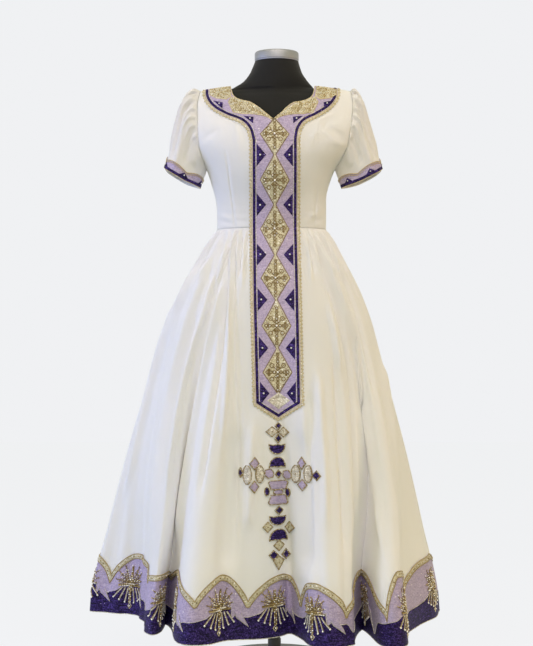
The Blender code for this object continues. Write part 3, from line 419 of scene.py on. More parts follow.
def torso_cloth(x, z, side):
    """Depth of the bodice's outer face with its darts, pulls and soft waist wrinkles."""
    plain = skin(x, z, side)
    free = step_up(np.abs(plain), 0.010, 0.035) * (1 - step_up(z, 1.40, 1.455))
    strip = step_up(np.abs(x), 0.064, 0.078) if side < 0 else 1.0
    waist = 0.0008 * np.sin(z * 310 + x * 22) * step_up(z, WAIST, 1.125) * (1 - step_up(z, 1.14, 1.19))
    pulls = np.zeros(np.broadcast(x, z).shape)
    for *line, width, rise in zip(*PULLS.values()):
        far, t = from_line(x, z, *line)
        pulls = pulls + rise * swell(far, 0, width) * (0.35 + 0.65 * np.sin(np.pi * np.clip(t, 0.03, 0.97)))
    return plain + side * (pulls * (1.0 if side < 0 else 0.6) + waist) * free * strip


def sleeve_point(side, angle, step):
    """Outer face of a sleeve: angle round it from the shoulder tip over the front, step 0 head to 7 hem."""
    angle, step = np.broadcast_arrays(np.asarray(angle, float), np.asarray(step, float))
    high = float(SIDE["z"][-1])
    turn = np.mod(angle, ROUND)
    half = np.where(turn <= np.pi, turn, ROUND - turn)
    z = high + (UNDERARM - high) * (1 - np.cos(half)) / 2
    x = curve(SIDE, side_name(side), z)
    y = np.where(turn <= np.pi, skin(x, z, -1), skin(x, z, 1)) * np.minimum(1, np.sin(half) / 0.10)
    steps, letter = np.arange(len(SLEEVE["depth"]), dtype=float), side_name(side)[0]
    names = (letter + "x", letter + "z", "ux", "uz", "depth")
    over, down, ux, uz, depth = (smooth(step, steps, SLEEVE[k]) for k in names)
    out = (1 + np.cos(turn)) / 2
    x = x - side * ux + (over + side * ux) * out
    z = z + uz + (down - uz) * out
    y = y + (-np.sin(turn) * SLEEVE_HALF_DEPTH - y) * depth
    return np.stack([x, y, z], axis=-1)


def sleeve_cloth(side, angle, step):
    """The sleeve with gathers at its head and long soft folds."""
    angle, step = np.broadcast_arrays(np.asarray(angle, float), np.asarray(step, float))
    along = sleeve_point(side, angle + 0.01, step) - sleeve_point(side, angle - 0.01, step)
    down = sleeve_point(side, angle, np.minimum(step + 0.05, 7)) - sleeve_point(side, angle, np.maximum(step - 0.05, 0))
    outward = unit(np.cross(along, down))
    turn = np.mod(angle + np.pi, ROUND) - np.pi
    crown = 1 - step_up(np.abs(turn), 1.3, 2.3)
    wave = turn * 21 + 1.6 * np.sin(turn * 4.3 + 0.4)
    gather = 0.0032 * (np.sin(wave) + 0.4 * np.sin(2.1 * wave + 1)) * step_up(step, 0.1, 1.1)
    total = gather * (1 - step_up(step, 1.8, 4.4)) * crown * step_up(7 - step, 0.0, 0.6)
    for at, width, rise, first, last in zip(*SLEEVE_FOLDS.values()):
        fold = 1.35 * rise * swell(turn, at, width) * step_up(step, first, first + 1.5)
        total = total + fold * (1 - step_up(step, last - 1.2, last))
    return sleeve_point(side, angle, step) + outward * (side * total)[..., None]


# ---------------------------------------------------------------- where a pattern lies

FRONT_STEP = 0.001
FRONT_X = np.arange(-0.205, 0.2051, FRONT_STEP)
FRONT_Z = np.arange(0.262, WAIST + 0.0005, FRONT_STEP)


def front_depths():
    """Depth of the skirt's front at a grid of x and z."""
    turns = np.linspace(-40, 46, 420)
    rows = []
    for z in FRONT_Z:
        line = skirt_cloth(turns, (WAIST - z) / (WAIST - HEM))
        order = np.argsort(line[:, 0])
        rows.append(np.interp(FRONT_X, line[order, 0], line[order, 1]))
    return np.array(rows)


FRONT_Y = front_depths()


def front_point(x, z):
    """Point of the dress's front at x, z."""
    x, z = np.broadcast_arrays(np.asarray(x, float), np.asarray(z, float))
    i = np.clip((z - FRONT_Z[0]) / FRONT_STEP, 0, len(FRONT_Z) - 1.001)
    j = np.clip((x - FRONT_X[0]) / FRONT_STEP, 0, len(FRONT_X) - 1.001)
    a, b = i.astype(int), j.astype(int)
    s, t = i - a, j - b
    low, high = (FRONT_Y[c, b] * (1 - t) + FRONT_Y[c, b + 1] * t for c in (a, a + 1))
    y = np.where(z >= WAIST, torso_cloth(x, z, -1), low * (1 - s) + high * s)
    return np.stack([x, y, z], axis=-1)


def back_point(x, z):
    x, z = np.broadcast_arrays(np.asarray(x, float), np.asarray(z, float))
    return np.stack([x, torso_cloth(x, z, 1), z], axis=-1)


def hem_point(along, high):
    """Point of the skirt at a distance along the hem from the left seam and a height above its edge."""
    turn = np.interp(np.mod(along, HEM_TOTAL), HEM_LENGTH, HEM_TURNS)
    return skirt_cloth(turn, 1 - high / (WAIST - HEM))


def cuff_point(side):
    """Point of a sleeve at a distance round its hem from the outer edge and a height above it."""
    angles = np.linspace(0, ROUND, 721)
    rim = sleeve_cloth(side, angles, 7.0)
    length = run_of(rim)
    last = np.linalg.norm(rim - sleeve_cloth(side, angles, 6.0), axis=1)

    def point(along, high):
        angle = np.interp(np.mod(along, length[-1]), length, angles)
        return sleeve_cloth(side, -side * angle, 7 - np.asarray(high) / np.interp(angle, angles, last))

    point.length = float(length[-1])
    return point


def lifted(point, u, v, lift):
    """Points of a surface moved out along its normals."""
    e = 0.0012
    out = unit(np.cross(point(u + e, v) - point(u - e, v), point(u, v + e) - point(u, v - e)))
    if point is back_point:
        out = -out
    return point(u, v) + out * np.asarray(lift)[..., None], out


# ---------------------------------------------------------------- meshes


class Heap:
    """Gathers the points and faces of many small shapes into one mesh."""

    def __init__(self):
        self.points, self.faces, self.tones, self.count = [], [], [], 0

    def take(self, points, faces, tone=0.5):
        points = np.asarray(points, float).reshape(-1, 3)
        self.points.append(points)
        self.faces += [tuple(int(i) + self.count for i in face) for face in faces]
        self.tones.append(np.broadcast_to(np.asarray(tone, float), (len(points),)))
        self.count += len(points)


def select(made):
    bpy.ops.object.select_all(action="DESELECT")
    made.select_set(True)
    bpy.context.view_layer.objects.active = made


def placed(name, mesh):
    """A new object of a mesh, in the scene and selected."""
    made = bpy.data.objects.new(name, mesh)
    bpy.context.scene.collection.objects.link(made)
    select(made)
    return made


def ride(made, replaces, smooth_angle):
    """Smooths a piece, sets it on the root body and hides the CAD nodes it replaces."""
    bpy.ops.object.shade_smooth_by_angle(angle=math.radians(smooth_angle))
    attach(made, "root")
    if replaces:
        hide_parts(*replaces)


def piece(name, heap, kind, *replaces, slot=None):
    """An object of the gathered shapes, at the origin, riding on the one body."""
    mesh = bpy.data.meshes.new(name)
    mesh.from_pydata(np.concatenate(heap.points).tolist(), [], heap.faces)
    mesh.update()
    tone = mesh.attributes.new("tone", "FLOAT", "POINT")
    tone.data.foreach_set("value", np.concatenate(heap.tones).astype(np.float32))
    mesh.materials.append(look(kind))
    made = placed(name, mesh)
    ride(made, replaces, 60)
    return made


def thicken(made, wall):
    """Gives a sheet its thickness, inwards."""
    select(made)
    modifier = made.modifiers.new("Solidify", "SOLIDIFY")
    modifier.thickness, modifier.offset = wall, -1.0
    bpy.ops.object.modifier_apply(modifier=modifier.name)


def grid_shape(grid, closed=False, flip=False):
    """Points and faces of a grid; closed joins its last column to its first."""
    if closed:
        grid = grid[:, :-1]
    rows, cols = grid.shape[:2]
    faces = [
        (i * cols + j, i * cols + (j + 1) % cols, (i + 1) * cols + (j + 1) % cols, (i + 1) * cols + j)
        for i in range(rows - 1)
        for j in range(cols if closed else cols - 1)
    ]
    return grid.reshape(-1, 3), [face[::-1] for face in faces] if flip else faces


def cloth_piece(name, grid, wall, kind, replaced, **shape):
    """A sheet of cloth whose outer face is the grid, with its thickness inside."""
    heap = Heap()
    heap.take(*grid_shape(grid, **shape))
    thicken(piece(name, heap, kind, replaced), wall)


def spaced(path, step):
    """The path again, with points about a step apart, its corners kept."""
    path = np.asarray(path, float)
    out = [path[:1]]
    for a, b in zip(path, path[1:]):
        n = max(1, int(round(np.linalg.norm(b - a) / step)))
        out.append(a + (b - a) * (np.arange(1, n + 1) / n)[:, None])
    return np.concatenate(out)


def closed_up(path):
    """The path with its first point once more at its end."""
    return np.concatenate([path, path[:1]])


def side_steps(path, closed):
    """Unit steps to the left of each point of a path, longer at corners."""
    ahead = np.diff(path, axis=0, append=path[:1] if closed else path[-1:])
    if not closed:
        ahead[-1] = ahead[-2]
    ahead = unit(ahead)
    behind = np.roll(ahead, 1, axis=0)
    if not closed:
        behind[0] = ahead[0]
    left = unit(np.stack([-ahead[:, 1] - behind[:, 1], ahead[:, 0] + behind[:, 0]], axis=1))
    wide = (left * np.stack([-ahead[:, 1], ahead[:, 0]], axis=1)).sum(1)
    return left / np.clip(wide, 0.45, 1)[:, None]


def offset(path, far, closed=False):
    return path + side_steps(path, closed) * np.asarray(far)[..., None]


def wavy(path, far, rise, length):
    """A path moved sideways in even waves."""
    path = spaced(path, 0.0013)
    return offset(path, far + rise * np.sin(run_of(path) * 2 * np.pi / length))


def ribbon(heap, point, path, width, lift, rise, closed=False, across=5, tone=0.5, step=0.003):
    """A rounded cord or narrow band that follows a path on a surface."""
    path = spaced(path, step)
    if closed:
        path = path[:-1] if np.allclose(path[0], path[-1]) else path
    left = side_steps(path, closed)
    s = np.linspace(-1, 1, across)
    crown = np.sqrt(np.clip(1 - s * s, 0, 1))
    u, v = (path[:, None, k] - left[:, None, k] * s * width / 2 for k in (0, 1))
    places, _ = lifted(point, u, v, lift + rise * crown[None, :] + 0 * u)
    if closed:
        places = closed_up(places)
    heap.take(*grid_shape(places, False, point is back_point), tone)


def inside(points, outline):
    x, z = points[:, 0], points[:, 1]
    found = np.zeros(len(points), bool)
    for (x0, z0), (x1, z1) in zip(outline, np.roll(outline, -1, axis=0)):
        with np.errstate(divide="ignore", invalid="ignore"):
            at = x0 + (z - z0) * (x1 - x0) / (z1 - z0)
        found ^= ((z0 > z) != (z1 > z)) & (x < at)
    return found


def from_edge(points, outline):
    far = np.full(len(points), 9.0)
    for a, b in zip(outline, np.roll(outline, -1, axis=0)):
        d = b - a
        t = np.clip(((points - a) @ d) / max(d @ d, 1e-14), 0, 1)
        far = np.minimum(far, np.linalg.norm(points - a - t[:, None] * d, axis=1))
    return far


def lattice(us, vs, step):
    """Places in rows, every second row half a step along."""
    u, v = np.meshgrid(us, vs)
    u = u + (np.arange(len(vs)) % 2)[:, None] * step / 2
    return np.stack([u.ravel(), v.ravel()], axis=1)


def patch(heap, point, outline, lift, rise, step=0.004, edge=0.0012):
    """A cut piece of cloth or a field of stitching on a surface, its edge turned down."""
    outline = np.asarray(outline, float)
    rim = spaced(closed_up(outline), step)[:-1]
    field = lattice(*(np.arange(a + step / 2, b, step) for a, b in zip(rim.min(0), rim.max(0))), step)
    field = field[inside(field, rim)]
    field = field[from_edge(field, rim) > 0.45 * step]
    turn = float((rim[:, 0] * np.roll(rim[:, 1], -1) - np.roll(rim[:, 0], -1) * rim[:, 1]).sum())
    if 0.5 * abs(turn) > 30 * edge * edge:
        inner = offset(rim, edge if turn > 0 else -edge, True)
        inner = inner[inside(inner, rim) & (from_edge(inner, rim) > 0.6 * edge)]
        if len(field):
            field = field[from_edge(field, rim) > edge * 1.5]
        field = np.concatenate([field, inner])
    n = len(rim)
    edges = [(i, (i + 1) % n) for i in range(n)]
    corners = [Vector(p) for p in np.concatenate([rim, field]).tolist()]
    verts, _, faces, origin, _, _ = delaunay_2d_cdt(corners, edges, [], 1, 1e-7)
    flat = np.array([tuple(p) for p in verts])
    height = lift + rise * (0.30 + 0.70 * np.clip(from_edge(flat, rim) / edge, 0, 1) ** 0.6)
    top, _ = lifted(point, flat[:, 0], flat[:, 1], height)
    wall, _ = lifted(point, rim[:, 0], rim[:, 1], lift - 0.0004 + 0 * rim[:, 0])
    counter = []
    for face in faces:
        a, b, c = flat[list(face)]
        area = (b[0] - a[0]) * (c[1] - a[1]) - (b[1] - a[1]) * (c[0] - a[0])
        counter.append(face if area > 0 else face[::-1])
    first = {i: k for k, group in enumerate(origin) for i in group}
    for i, j in edges:
        if i in first and j in first and first[i] != first[j]:
            quad = (len(flat) + i, len(flat) + j, first[j], first[i])
            counter.append(quad if turn > 0 else quad[::-1])
    if point is back_point:
        counter = [tuple(face)[::-1] for face in counter]
    heap.take(np.concatenate([top, wall]), counter)


BEADS = {}


def bead_shape():
    """One small round bead, made once: six sided, flattened a little."""
    if not BEADS:
        bpy.ops.object.select_all(action="DESELECT")
        bpy.ops.mesh.primitive_uv_sphere_add(segments=6, ring_count=4, radius=1.0)
        made = bpy.context.active_object
        bpy.ops.object.mode_set(mode="EDIT")
        bpy.ops.mesh.select_all(action="SELECT")
        bpy.ops.transform.resize(value=(1.0, 1.0, 0.85))
        bpy.ops.object.mode_set(mode="OBJECT")
        BEADS["points"] = np.array([v.co for v in made.data.vertices])
        BEADS["faces"] = [tuple(f.vertices) for f in made.data.polygons]
        bpy.data.objects.remove(made)
    return BEADS["points"], BEADS["faces"]


def scattered(count, by=0.618, start=0.0):
    """Uneven shares from 0 to 1, the same each time."""
    return np.mod(np.arange(count) * by + start, 1.0)


def beads(heap, point, places, radius, lift, tones=None):
    """Beads sewn on a surface at u, v places."""
    places = np.asarray(places, float).reshape(-1, 2)
    if not len(places):
        return
    radius = np.broadcast_to(np.asarray(radius, float), (len(places),))
    at, out = lifted(point, places[:, 0], places[:, 1], lift + 0.55 * radius)
    side = unit(np.cross(out, np.array([0.31, 0.2, 0.93])))
    up = np.cross(out, side)
    shape, faces = bead_shape()
    if tones is None:
        tones = scattered(len(places), start=places[:, 0] * 91.7)
    tones = np.broadcast_to(np.asarray(tones, float), (len(places),))
    for p, a, b, c, r, tone in zip(at, side, up, out, radius, tones):
        heap.take(p + r * (shape[:, :1] * a + shape[:, 1:2] * b + shape[:, 2:] * c), faces, tone)


def along(path, step, start=0.5):
    """Places a step apart along a path."""
    path = np.asarray(path, float)
    length = run_of(path)
    at = np.arange(start * step, length[-1] - 0.3 * step, step)
    return np.stack([np.interp(at, length, path[:, k]) for k in (0, 1)], axis=1)


# ---------------------------------------------------------------- finishes


def finish(name, colour, rough, metal=0.0, **more):
    """A Principled material and its tree."""
    made = bpy.data.materials.new(name)
    made.use_nodes = True
    shader = made.node_tree.nodes["Principled BSDF"]
    for key, value in dict(base_color=(*colour, 1), roughness=rough, metallic=metal, **more).items():
        shader.inputs[key.replace("_", " ").title().replace("Ior", "IOR")].default_value = value
    return made, made.node_tree, shader


def node(tree, kind, **settings):
    """A node; a setting that it has no attribute for is one of its inputs."""
    made = tree.nodes.new(kind)
    for key, value in settings.items():
        if hasattr(made, key):
            setattr(made, key, value)
        else:
            made.inputs[key.replace("_", " ").title()].default_value = value
    return made


def fed(tree, vector, kind, out="Fac", **settings):
    """Output of a texture node that reads a place."""
    made = node(tree, kind, **settings)
    tree.links.new(vector, made.inputs["Vector"])
    return made.outputs[out]


def place_of(tree, scale=(1, 1, 1)):
    """Object coordinates, stretched."""
    source = node(tree, "ShaderNodeTexCoord")
    return fed(tree, source.outputs["Object"], "ShaderNodeMapping", "Vector", Scale=scale)


def noise(tree, vector, scale, detail=2.0, rough=0.5):
    return fed(tree, vector, "ShaderNodeTexNoise", Scale=scale, Detail=detail, Roughness=rough)


def wave(tree, vector, scale, twist, direction):
    return fed(tree, vector, "ShaderNodeTexWave", bands_direction=direction, Scale=scale, Distortion=twist, Detail=1.0)


def ramp(tree, value, stops):
    made = node(tree, "ShaderNodeValToRGB")
    band = made.color_ramp
    while len(band.elements) < len(stops):
        band.elements.new(0.5)
    for element, (at, colour) in zip(band.elements, stops):
        element.position = at
        element.color = (*colour, 1)
    tree.links.new(value, made.inputs["Fac"])
    return made.outputs["Color"]


def painted_by(tree, shader, value, stops):
    """Colours the shader by a ramp."""
    tree.links.new(ramp(tree, value, stops), shader.inputs["Base Color"])


def shades(colour, *stops):
    """Ramp stops that are darker and lighter than a colour: place and factor."""
    return [(at, tuple(c * factor for c in colour)) for at, factor in stops]


def bump(tree, shader, height, strength, distance, under=None):
    made = node(tree, "ShaderNodeBump", Strength=strength, Distance=distance)
    tree.links.new(height, made.inputs["Height"])
    if under is not None:
        tree.links.new(under, made.inputs["Normal"])
    tree.links.new(made.outputs["Normal"], shader.inputs["Normal"])
    return made.outputs["Normal"]


def tone_of(tree):
    return node(tree, "ShaderNodeAttribute", attribute_name="tone").outputs["Fac"]


def white_cloth(name, colour):
    made, tree, shader = finish(name, colour, 0.72, sheen_weight=0.22, sheen_roughness=0.45, specular_ior_level=0.25,
                                subsurface_weight=0.85, subsurface_scale=0.0045, subsurface_radius=(1.0, 0.96, 0.88))
    fine = noise(tree, place_of(tree), 1150.0)
    crepe = noise(tree, place_of(tree, (1, 1, 0.16)), 420.0, 3.0)
    bump(tree, shader, crepe, 0.13, 0.0016, bump(tree, shader, fine, 0.16, 0.0006))
    cloudy = noise(tree, place_of(tree, (1, 1, 0.3)), 7.0, 3.0)
    painted_by(tree, shader, cloudy, shades(colour, (0.30, 0.97), (0.70, 1.015)))
    return made


def stitched(name, dark, colour, light, rows, rough, spark, glint=(0.9, 0.88, 0.84), streak=(0.66, 1.10), shine=0.35):
    """Close rows of thread and small sequins: uneven cells, fine bands and a few bright points, which are painted
    glints.
    """
    made, tree, shader = finish(name, colour, rough, sheen_weight=0.05 if shine > 0.2 else 0.0, sheen_roughness=0.4,
                                specular_ior_level=shine)
    where = place_of(tree)
    cells = node(tree, "ShaderNodeTexVoronoi", Scale=400.0)
    tree.links.new(where, cells.inputs["Vector"])
    # Cells above spark take the glint colour: painted highlights, near white, put into the base colour.
    stops = [(0.25, dark), (0.50, colour), (0.70, light), (spark, light), (spark + 0.02, glint)]
    base = ramp(tree, cells.outputs["Color"], stops)
    thread = noise(tree, place_of(tree, (0.13, 0.13, 1)), rows, 2.0, 0.6)
    lines = ramp(tree, thread, [(0.36, (streak[0],) * 3), (0.62, (streak[1],) * 3)])
    both = node(tree, "ShaderNodeMix", data_type="RGBA", blend_type="MULTIPLY")
    both.inputs[0].default_value = 1.0
    tree.links.new(base, both.inputs[6])
    tree.links.new(lines, both.inputs[7])
    tree.links.new(both.outputs[2], shader.inputs["Base Color"])
    bump(tree, shader, thread, 0.40, 0.0008, bump(tree, shader, cells.outputs["Distance"], 0.35, 0.0012))
    return made


def gold_thread(name, dark, middle, light):
    """Twisted gold cord whose shade follows each cord's tone."""
    made, tree, shader = finish(name, light, 0.42, 0.35, specular_ior_level=0.5)
    where = place_of(tree)
    grain = noise(tree, where, 520.0, 2.0, 0.6)
    blend = node(tree, "ShaderNodeMath", operation="ADD")
    tree.links.new(grain, blend.inputs[0])
    tree.links.new(tone_of(tree), blend.inputs[1])
    half = node(tree, "ShaderNodeMath", operation="MULTIPLY")
    tree.links.new(blend.outputs[0], half.inputs[0])
    half.inputs[1].default_value = 0.5
    painted_by(tree, shader, half.outputs[0], [(0.30, dark), (0.48, middle), (0.68, light)])
    twist = wave(tree, where, 420.0, 3.0, "DIAGONAL")
    bump(tree, shader, grain, 0.35, 0.0006, bump(tree, shader, twist, 0.5, 0.0007))
    return made


def bead_look(name, stops, rough=0.24, metal=0.55):
    """Glass and metal beads whose shade follows each bead's tone."""
    made, tree, shader = finish(name, stops[-1][1], rough, metal, specular_ior_level=0.7, coat_weight=0.25,
                                coat_roughness=0.1)
    painted_by(tree, shader, tone_of(tree), stops)
    bump(tree, shader, noise(tree, place_of(tree), 1800.0, 1.0), 0.12, 0.0003)
    return made


def jersey(name, colour):
    made, tree, shader = finish(name, colour, 0.82, sheen_weight=0.12, sheen_roughness=0.5, specular_ior_level=0.3)
    where = place_of(tree)
    rib, grain = wave(tree, where, 520.0, 0.6, "X"), noise(tree, where, 900.0)
    painted_by(tree, shader, noise(tree, where, 9.0, 3.0), shades(colour, (0.3, 0.8), (0.7, 1.25)))
    bump(tree, shader, grain, 0.3, 0.0005, bump(tree, shader, rib, 0.25, 0.0004))
    return made


def brushed_metal(name):
    made, tree, shader = finish(name, (0.40, 0.42, 0.45), 0.50, 0.8, anisotropic=0.3)
    lines = noise(tree, place_of(tree, (1.5, 1.5, 160)), 14.0, 3.0, 0.7)
    painted_by(tree, shader, lines, [(0.3, (0.30, 0.31, 0.34)), (0.7, (0.45, 0.46, 0.49))])
    bump(tree, shader, lines, 0.12, 0.0004)
    return made


def painted(name, colour):
    made, tree, shader = finish(name, colour, 0.42, specular_ior_level=0.5)
    where = place_of(tree)
    grain = noise(tree, where, 260.0, 3.0)
    painted_by(tree, shader, noise(tree, where, 22.0, 4.0), shades(colour, (0.35, 0.85), (0.75, 1.2)))
    bump(tree, shader, grain, 0.12, 0.0004)
    return made


LOOKS = {}


def look(name):
    """The finish of that name, all made when the first is asked for."""
    if not LOOKS:
        kit = bpy.context.scene.kemis_colours
        white, lavender, purple, gold = (tuple(colour) for colour in (kit.white, kit.lavender, kit.purple, kit.gold))
        LOOKS["white"] = white_cloth("white_chiffon", white)
        # Painted shade: the sleeves' white is darkened and warmed for the warm shadow that falls on them.
        LOOKS["sleeve"] = white_cloth("unlined_chiffon", tuple(c * k for c, k in zip(white, (0.83, 0.81, 0.79))))
        LOOKS["lavender"] = stitched("lavender_thread", (0.37, 0.315, 0.50), lavender, (0.51, 0.43, 0.60), 640.0, 0.65,
                                     0.94, streak=(0.82, 1.08))
        LOOKS["purple"] = stitched("purple_thread", (0.008, 0.003, 0.036), purple, (0.052, 0.030, 0.17), 430.0, 0.6,
                                   0.93, (0.24, 0.19, 0.42), (0.34, 1.45), 0.14)
        LOOKS["pale"] = stitched("champagne_thread", (0.47, 0.42, 0.27), (0.58, 0.53, 0.36), (0.68, 0.64, 0.48), 640.0,
                                 0.55, 0.84, (0.93, 0.92, 0.84), (0.82, 1.06))
        LOOKS["cream"] = stitched("cream_thread", (0.48, 0.43, 0.34), (0.66, 0.62, 0.53), (0.78, 0.75, 0.67), 380.0,
                                  0.6, 0.78)
        LOOKS["gold"] = gold_thread("gold_cord", (0.20, 0.135, 0.045), gold, (0.78, 0.69, 0.46))
        # Bead tones from dark to bright gold; the near-white top stop is a painted glint.
        gold_and_painted_glint = [(0.0, (0.18, 0.115, 0.030)), (0.34, (0.40, 0.285, 0.095)), (0.64, (0.66, 0.54, 0.27)),
                 (0.86, (0.96, 0.94, 0.84))]
        LOOKS["beads"] = bead_look("gold_beads", gold_and_painted_glint)
        clear = [(0.0, (0.75, 0.74, 0.72)), (1.0, (0.95, 0.95, 0.95))]
        LOOKS["crystal"] = bead_look("white_beads", clear, 0.15, 0.1)
        LOOKS["jersey"] = jersey("form_jersey", (0.0060, 0.0058, 0.0056))
        LOOKS["metal"] = brushed_metal("brushed_aluminium")
        LOOKS["paint"] = painted("stand_paint", (0.055, 0.052, 0.048))
    return LOOKS[name]


# ---------------------------------------------------------------- the cloth

SEAMS = [float(np.interp(turn, HEM_TURNS, HEM_LENGTH)) for turn in (-90, 90, 180, 270)]
PANELS = dict(zip(("front", "back_right", "back_left"), zip(SEAMS, SEAMS[1:])))


def crowded(count, power):
    """Shares from 0 to 1, closer together towards 0."""
    return np.linspace(0, 1, count) ** power


def make_skirt(wall):
    """The gathered skirt in its three panels."""
    step = HEM_TOTAL / 648
    drops = crowded(92, 1.45)
    for name, (start, stop) in PANELS.items():
        lengths = np.linspace(start, stop, int(round((stop - start) / step)) + 1)
        turns = np.interp(lengths, HEM_LENGTH, HEM_TURNS)
        turns = 0.62 * turns + 0.38 * np.linspace(turns[0], turns[-1], len(turns))
        grid = skirt_cloth(turns[None, :], drops[::-1, None])
        cloth_piece("cloth_skirt_" + name, grid, wall, "white", "skirt_" + name)


def bodice_rows(share, up, side):
    """Bodice points with their darts and pulls."""
    grid = bodice(share, up, side)
    grid[..., 1] = np.where(np.abs(grid[..., 1]) > 1e-6, torso_cloth(grid[..., 0], grid[..., 2], side), 0.0)
    return grid


def make_bodice(wall):
    """The close-fitting bodice: one front, two backs that meet in a closed seam."""
    up = np.sort(1 - crowded(110, 1.25)[::-1])
    left, right = ((x - SIDE["left"][-1]) / (SIDE["right"][-1] - SIDE["left"][-1]) for x in (NECK_LEFT, NECK_RIGHT))
    marks = (0, 0.06, left, left + 0.04, right - 0.04, right, 0.94, 1)
    spans = zip(marks, marks[1:], (10, 22, 18, 100, 18, 22, 10))
    share = np.unique(np.concatenate([np.linspace(*span) for span in spans]))
    cloth_piece("cloth_bodice_front", bodice_rows(share, up, -1), wall, "white", "bodice_front")
    # The back is shaped whole and then parted at its centre seam: only its outer columns are side seams.
    start, stop = (curve(SIDE, edge, [SEAM_V[1]])[0] for edge in ("left", "right"))
    middle = (SEAM_V[0] - start) / (stop - start)
    share = np.unique(np.append(share, middle))
    whole = bodice_rows(share, up, 1)
    for name, half in (("bodice_back_left", share <= middle), ("bodice_back_right", share >= middle)):
        cloth_piece("cloth_" + name, whole[:, half], wall, "white", name, flip=True)


def make_sleeves(wall):
    """Short gathered sleeves, open at the hem."""
    angles = np.linspace(0, ROUND, 201)
    steps = np.linspace(0.03, 7, 64)
    for side in (-1, 1):
        name = "sleeve_" + side_name(side)
        grid = sleeve_cloth(side, angles[None, :], steps[:, None])
        cloth_piece("cloth_" + name, grid, wall, "sleeve", name, closed=True, flip=side < 0)


# ---------------------------------------------------------------- the yoke and the strip

YOKE_ENDS = {"left": (-0.1842, -0.119), "right": (0.1644, 0.107)}  # its shoulder edge, outer and inner end
STRIP_TOP = (-0.0612, 0.0583)
YOKE_SEAM = 1.3345


def under_ridge(x, low):
    """A place a little under the shoulder line."""
    return x, float(ridge(np.array(x))) - low


def edge_line():
    """Outer edge of yoke and strip: down the left, round the tip and up the right."""
    zs = np.linspace(1.478, 1.336, 48)
    left, right = ([(curve(YOKE, k, z), z) for z in zs] for k in ("left", "right"))
    down, up = (list(zip(STRIP[k], STRIP["z"]))[1:] for k in ("left", "right"))
    start, stop = (under_ridge(YOKE_ENDS[k][0], 0.0008) for k in ("left", "right"))
    return np.array([start, *left, *down, STRIP_TIP, *up[::-1], *right[::-1], stop])


EDGE = edge_line()
JOINS = (1.299, 1.177, 1.0486, 0.935, 0.816, 0.706)
CENTRES = (1.352, 1.238, 1.115, 0.989, 0.8706, 0.757)


def strip_middle(z):
    z = min(z, YOKE_LOW)
    return float((strip_edge("left", z) + strip_edge("right", z)) / 2)


def front_neck(left, right, count, low=0.0):
    """The front neck edge with close points at its corners, lowered a little."""
    corners = np.linspace(left, -0.095, count), np.linspace(0.084, right, count)
    xs = np.concatenate([corners[0], np.linspace(-0.09, 0.08, 60), corners[1]])
    return np.stack([xs, curve(NECK_FRONT, "z", xs) - low], axis=1)


def make_band(name, point, outline):
    """The woven ground of a band, replacing its plain solid."""
    heap = Heap()
    patch(heap, point, outline, 0.0005, BAND, 0.0045, 0.0008)
    piece("band_" + name, heap, "lavender", name)


def make_bases():
    """The grounds of yoke and strip."""
    above = EDGE[:, 1] >= YOKE_SEAM
    left, right = STRIP_TOP
    make_band("front_strip", front_point, [(left, YOKE_LOW), *EDGE[~above], (right, YOKE_LOW)])
    outer, inner = (EDGE[(side * EDGE[:, 0] > 0) & above] for side in (-1, 1))
    ends = [[under_ridge(x, 0.0006) for x in np.linspace(a, b, 10)] for a, b in ((0.160, 0.107), (-0.119, -0.180))]
    seam = [(left, 1.3343), (right, 1.3343)]
    neck = front_neck(-0.115, 0.103, 12)[::-1]
    make_band("neck_yoke_front", front_point, [*outer, *seam, *inner, *ends[0], *neck, *ends[1]])
    xs = np.linspace(-0.1145, 0.1025, 60)
    neck = np.stack([xs, curve(NECK_BACK, "z", xs) - 0.0002], axis=1)
    middle, low = -0.0060, 1.4218
    for side in (-1, 1):
        name = side_name(side)
        seam = middle + side * 0.0004
        outer = [(curve(YOKE, name, z), z) for z in np.linspace(low, 1.478, 16)]
        tip, end = YOKE_ENDS[name]
        shoulder = [under_ridge(x, 0.0006) for x in np.linspace(tip, side * 0.005 + end, 12)]
        inner = neck[neck[:, 0] < seam] if side < 0 else neck[neck[:, 0] > seam][::-1]
        last = (seam, float(curve(NECK_BACK, "z", middle)))
        make_band("neck_yoke_back_" + name, back_point, [(seam, low), *outer, *shoulder, *inner, last])


def cord_ring(cord, x, z, radius, width, rise, tone):
    """A small closed ring of cord."""
    turn = np.linspace(0, ROUND, 9)[:-1]
    path = closed_up(np.stack([x + radius * np.cos(turn), z + radius * np.sin(turn)], axis=1))
    ribbon(cord, front_point, path, width, CLOTH_TOP + 0.0008, rise, closed=True, across=4, tone=tone, step=0.01)


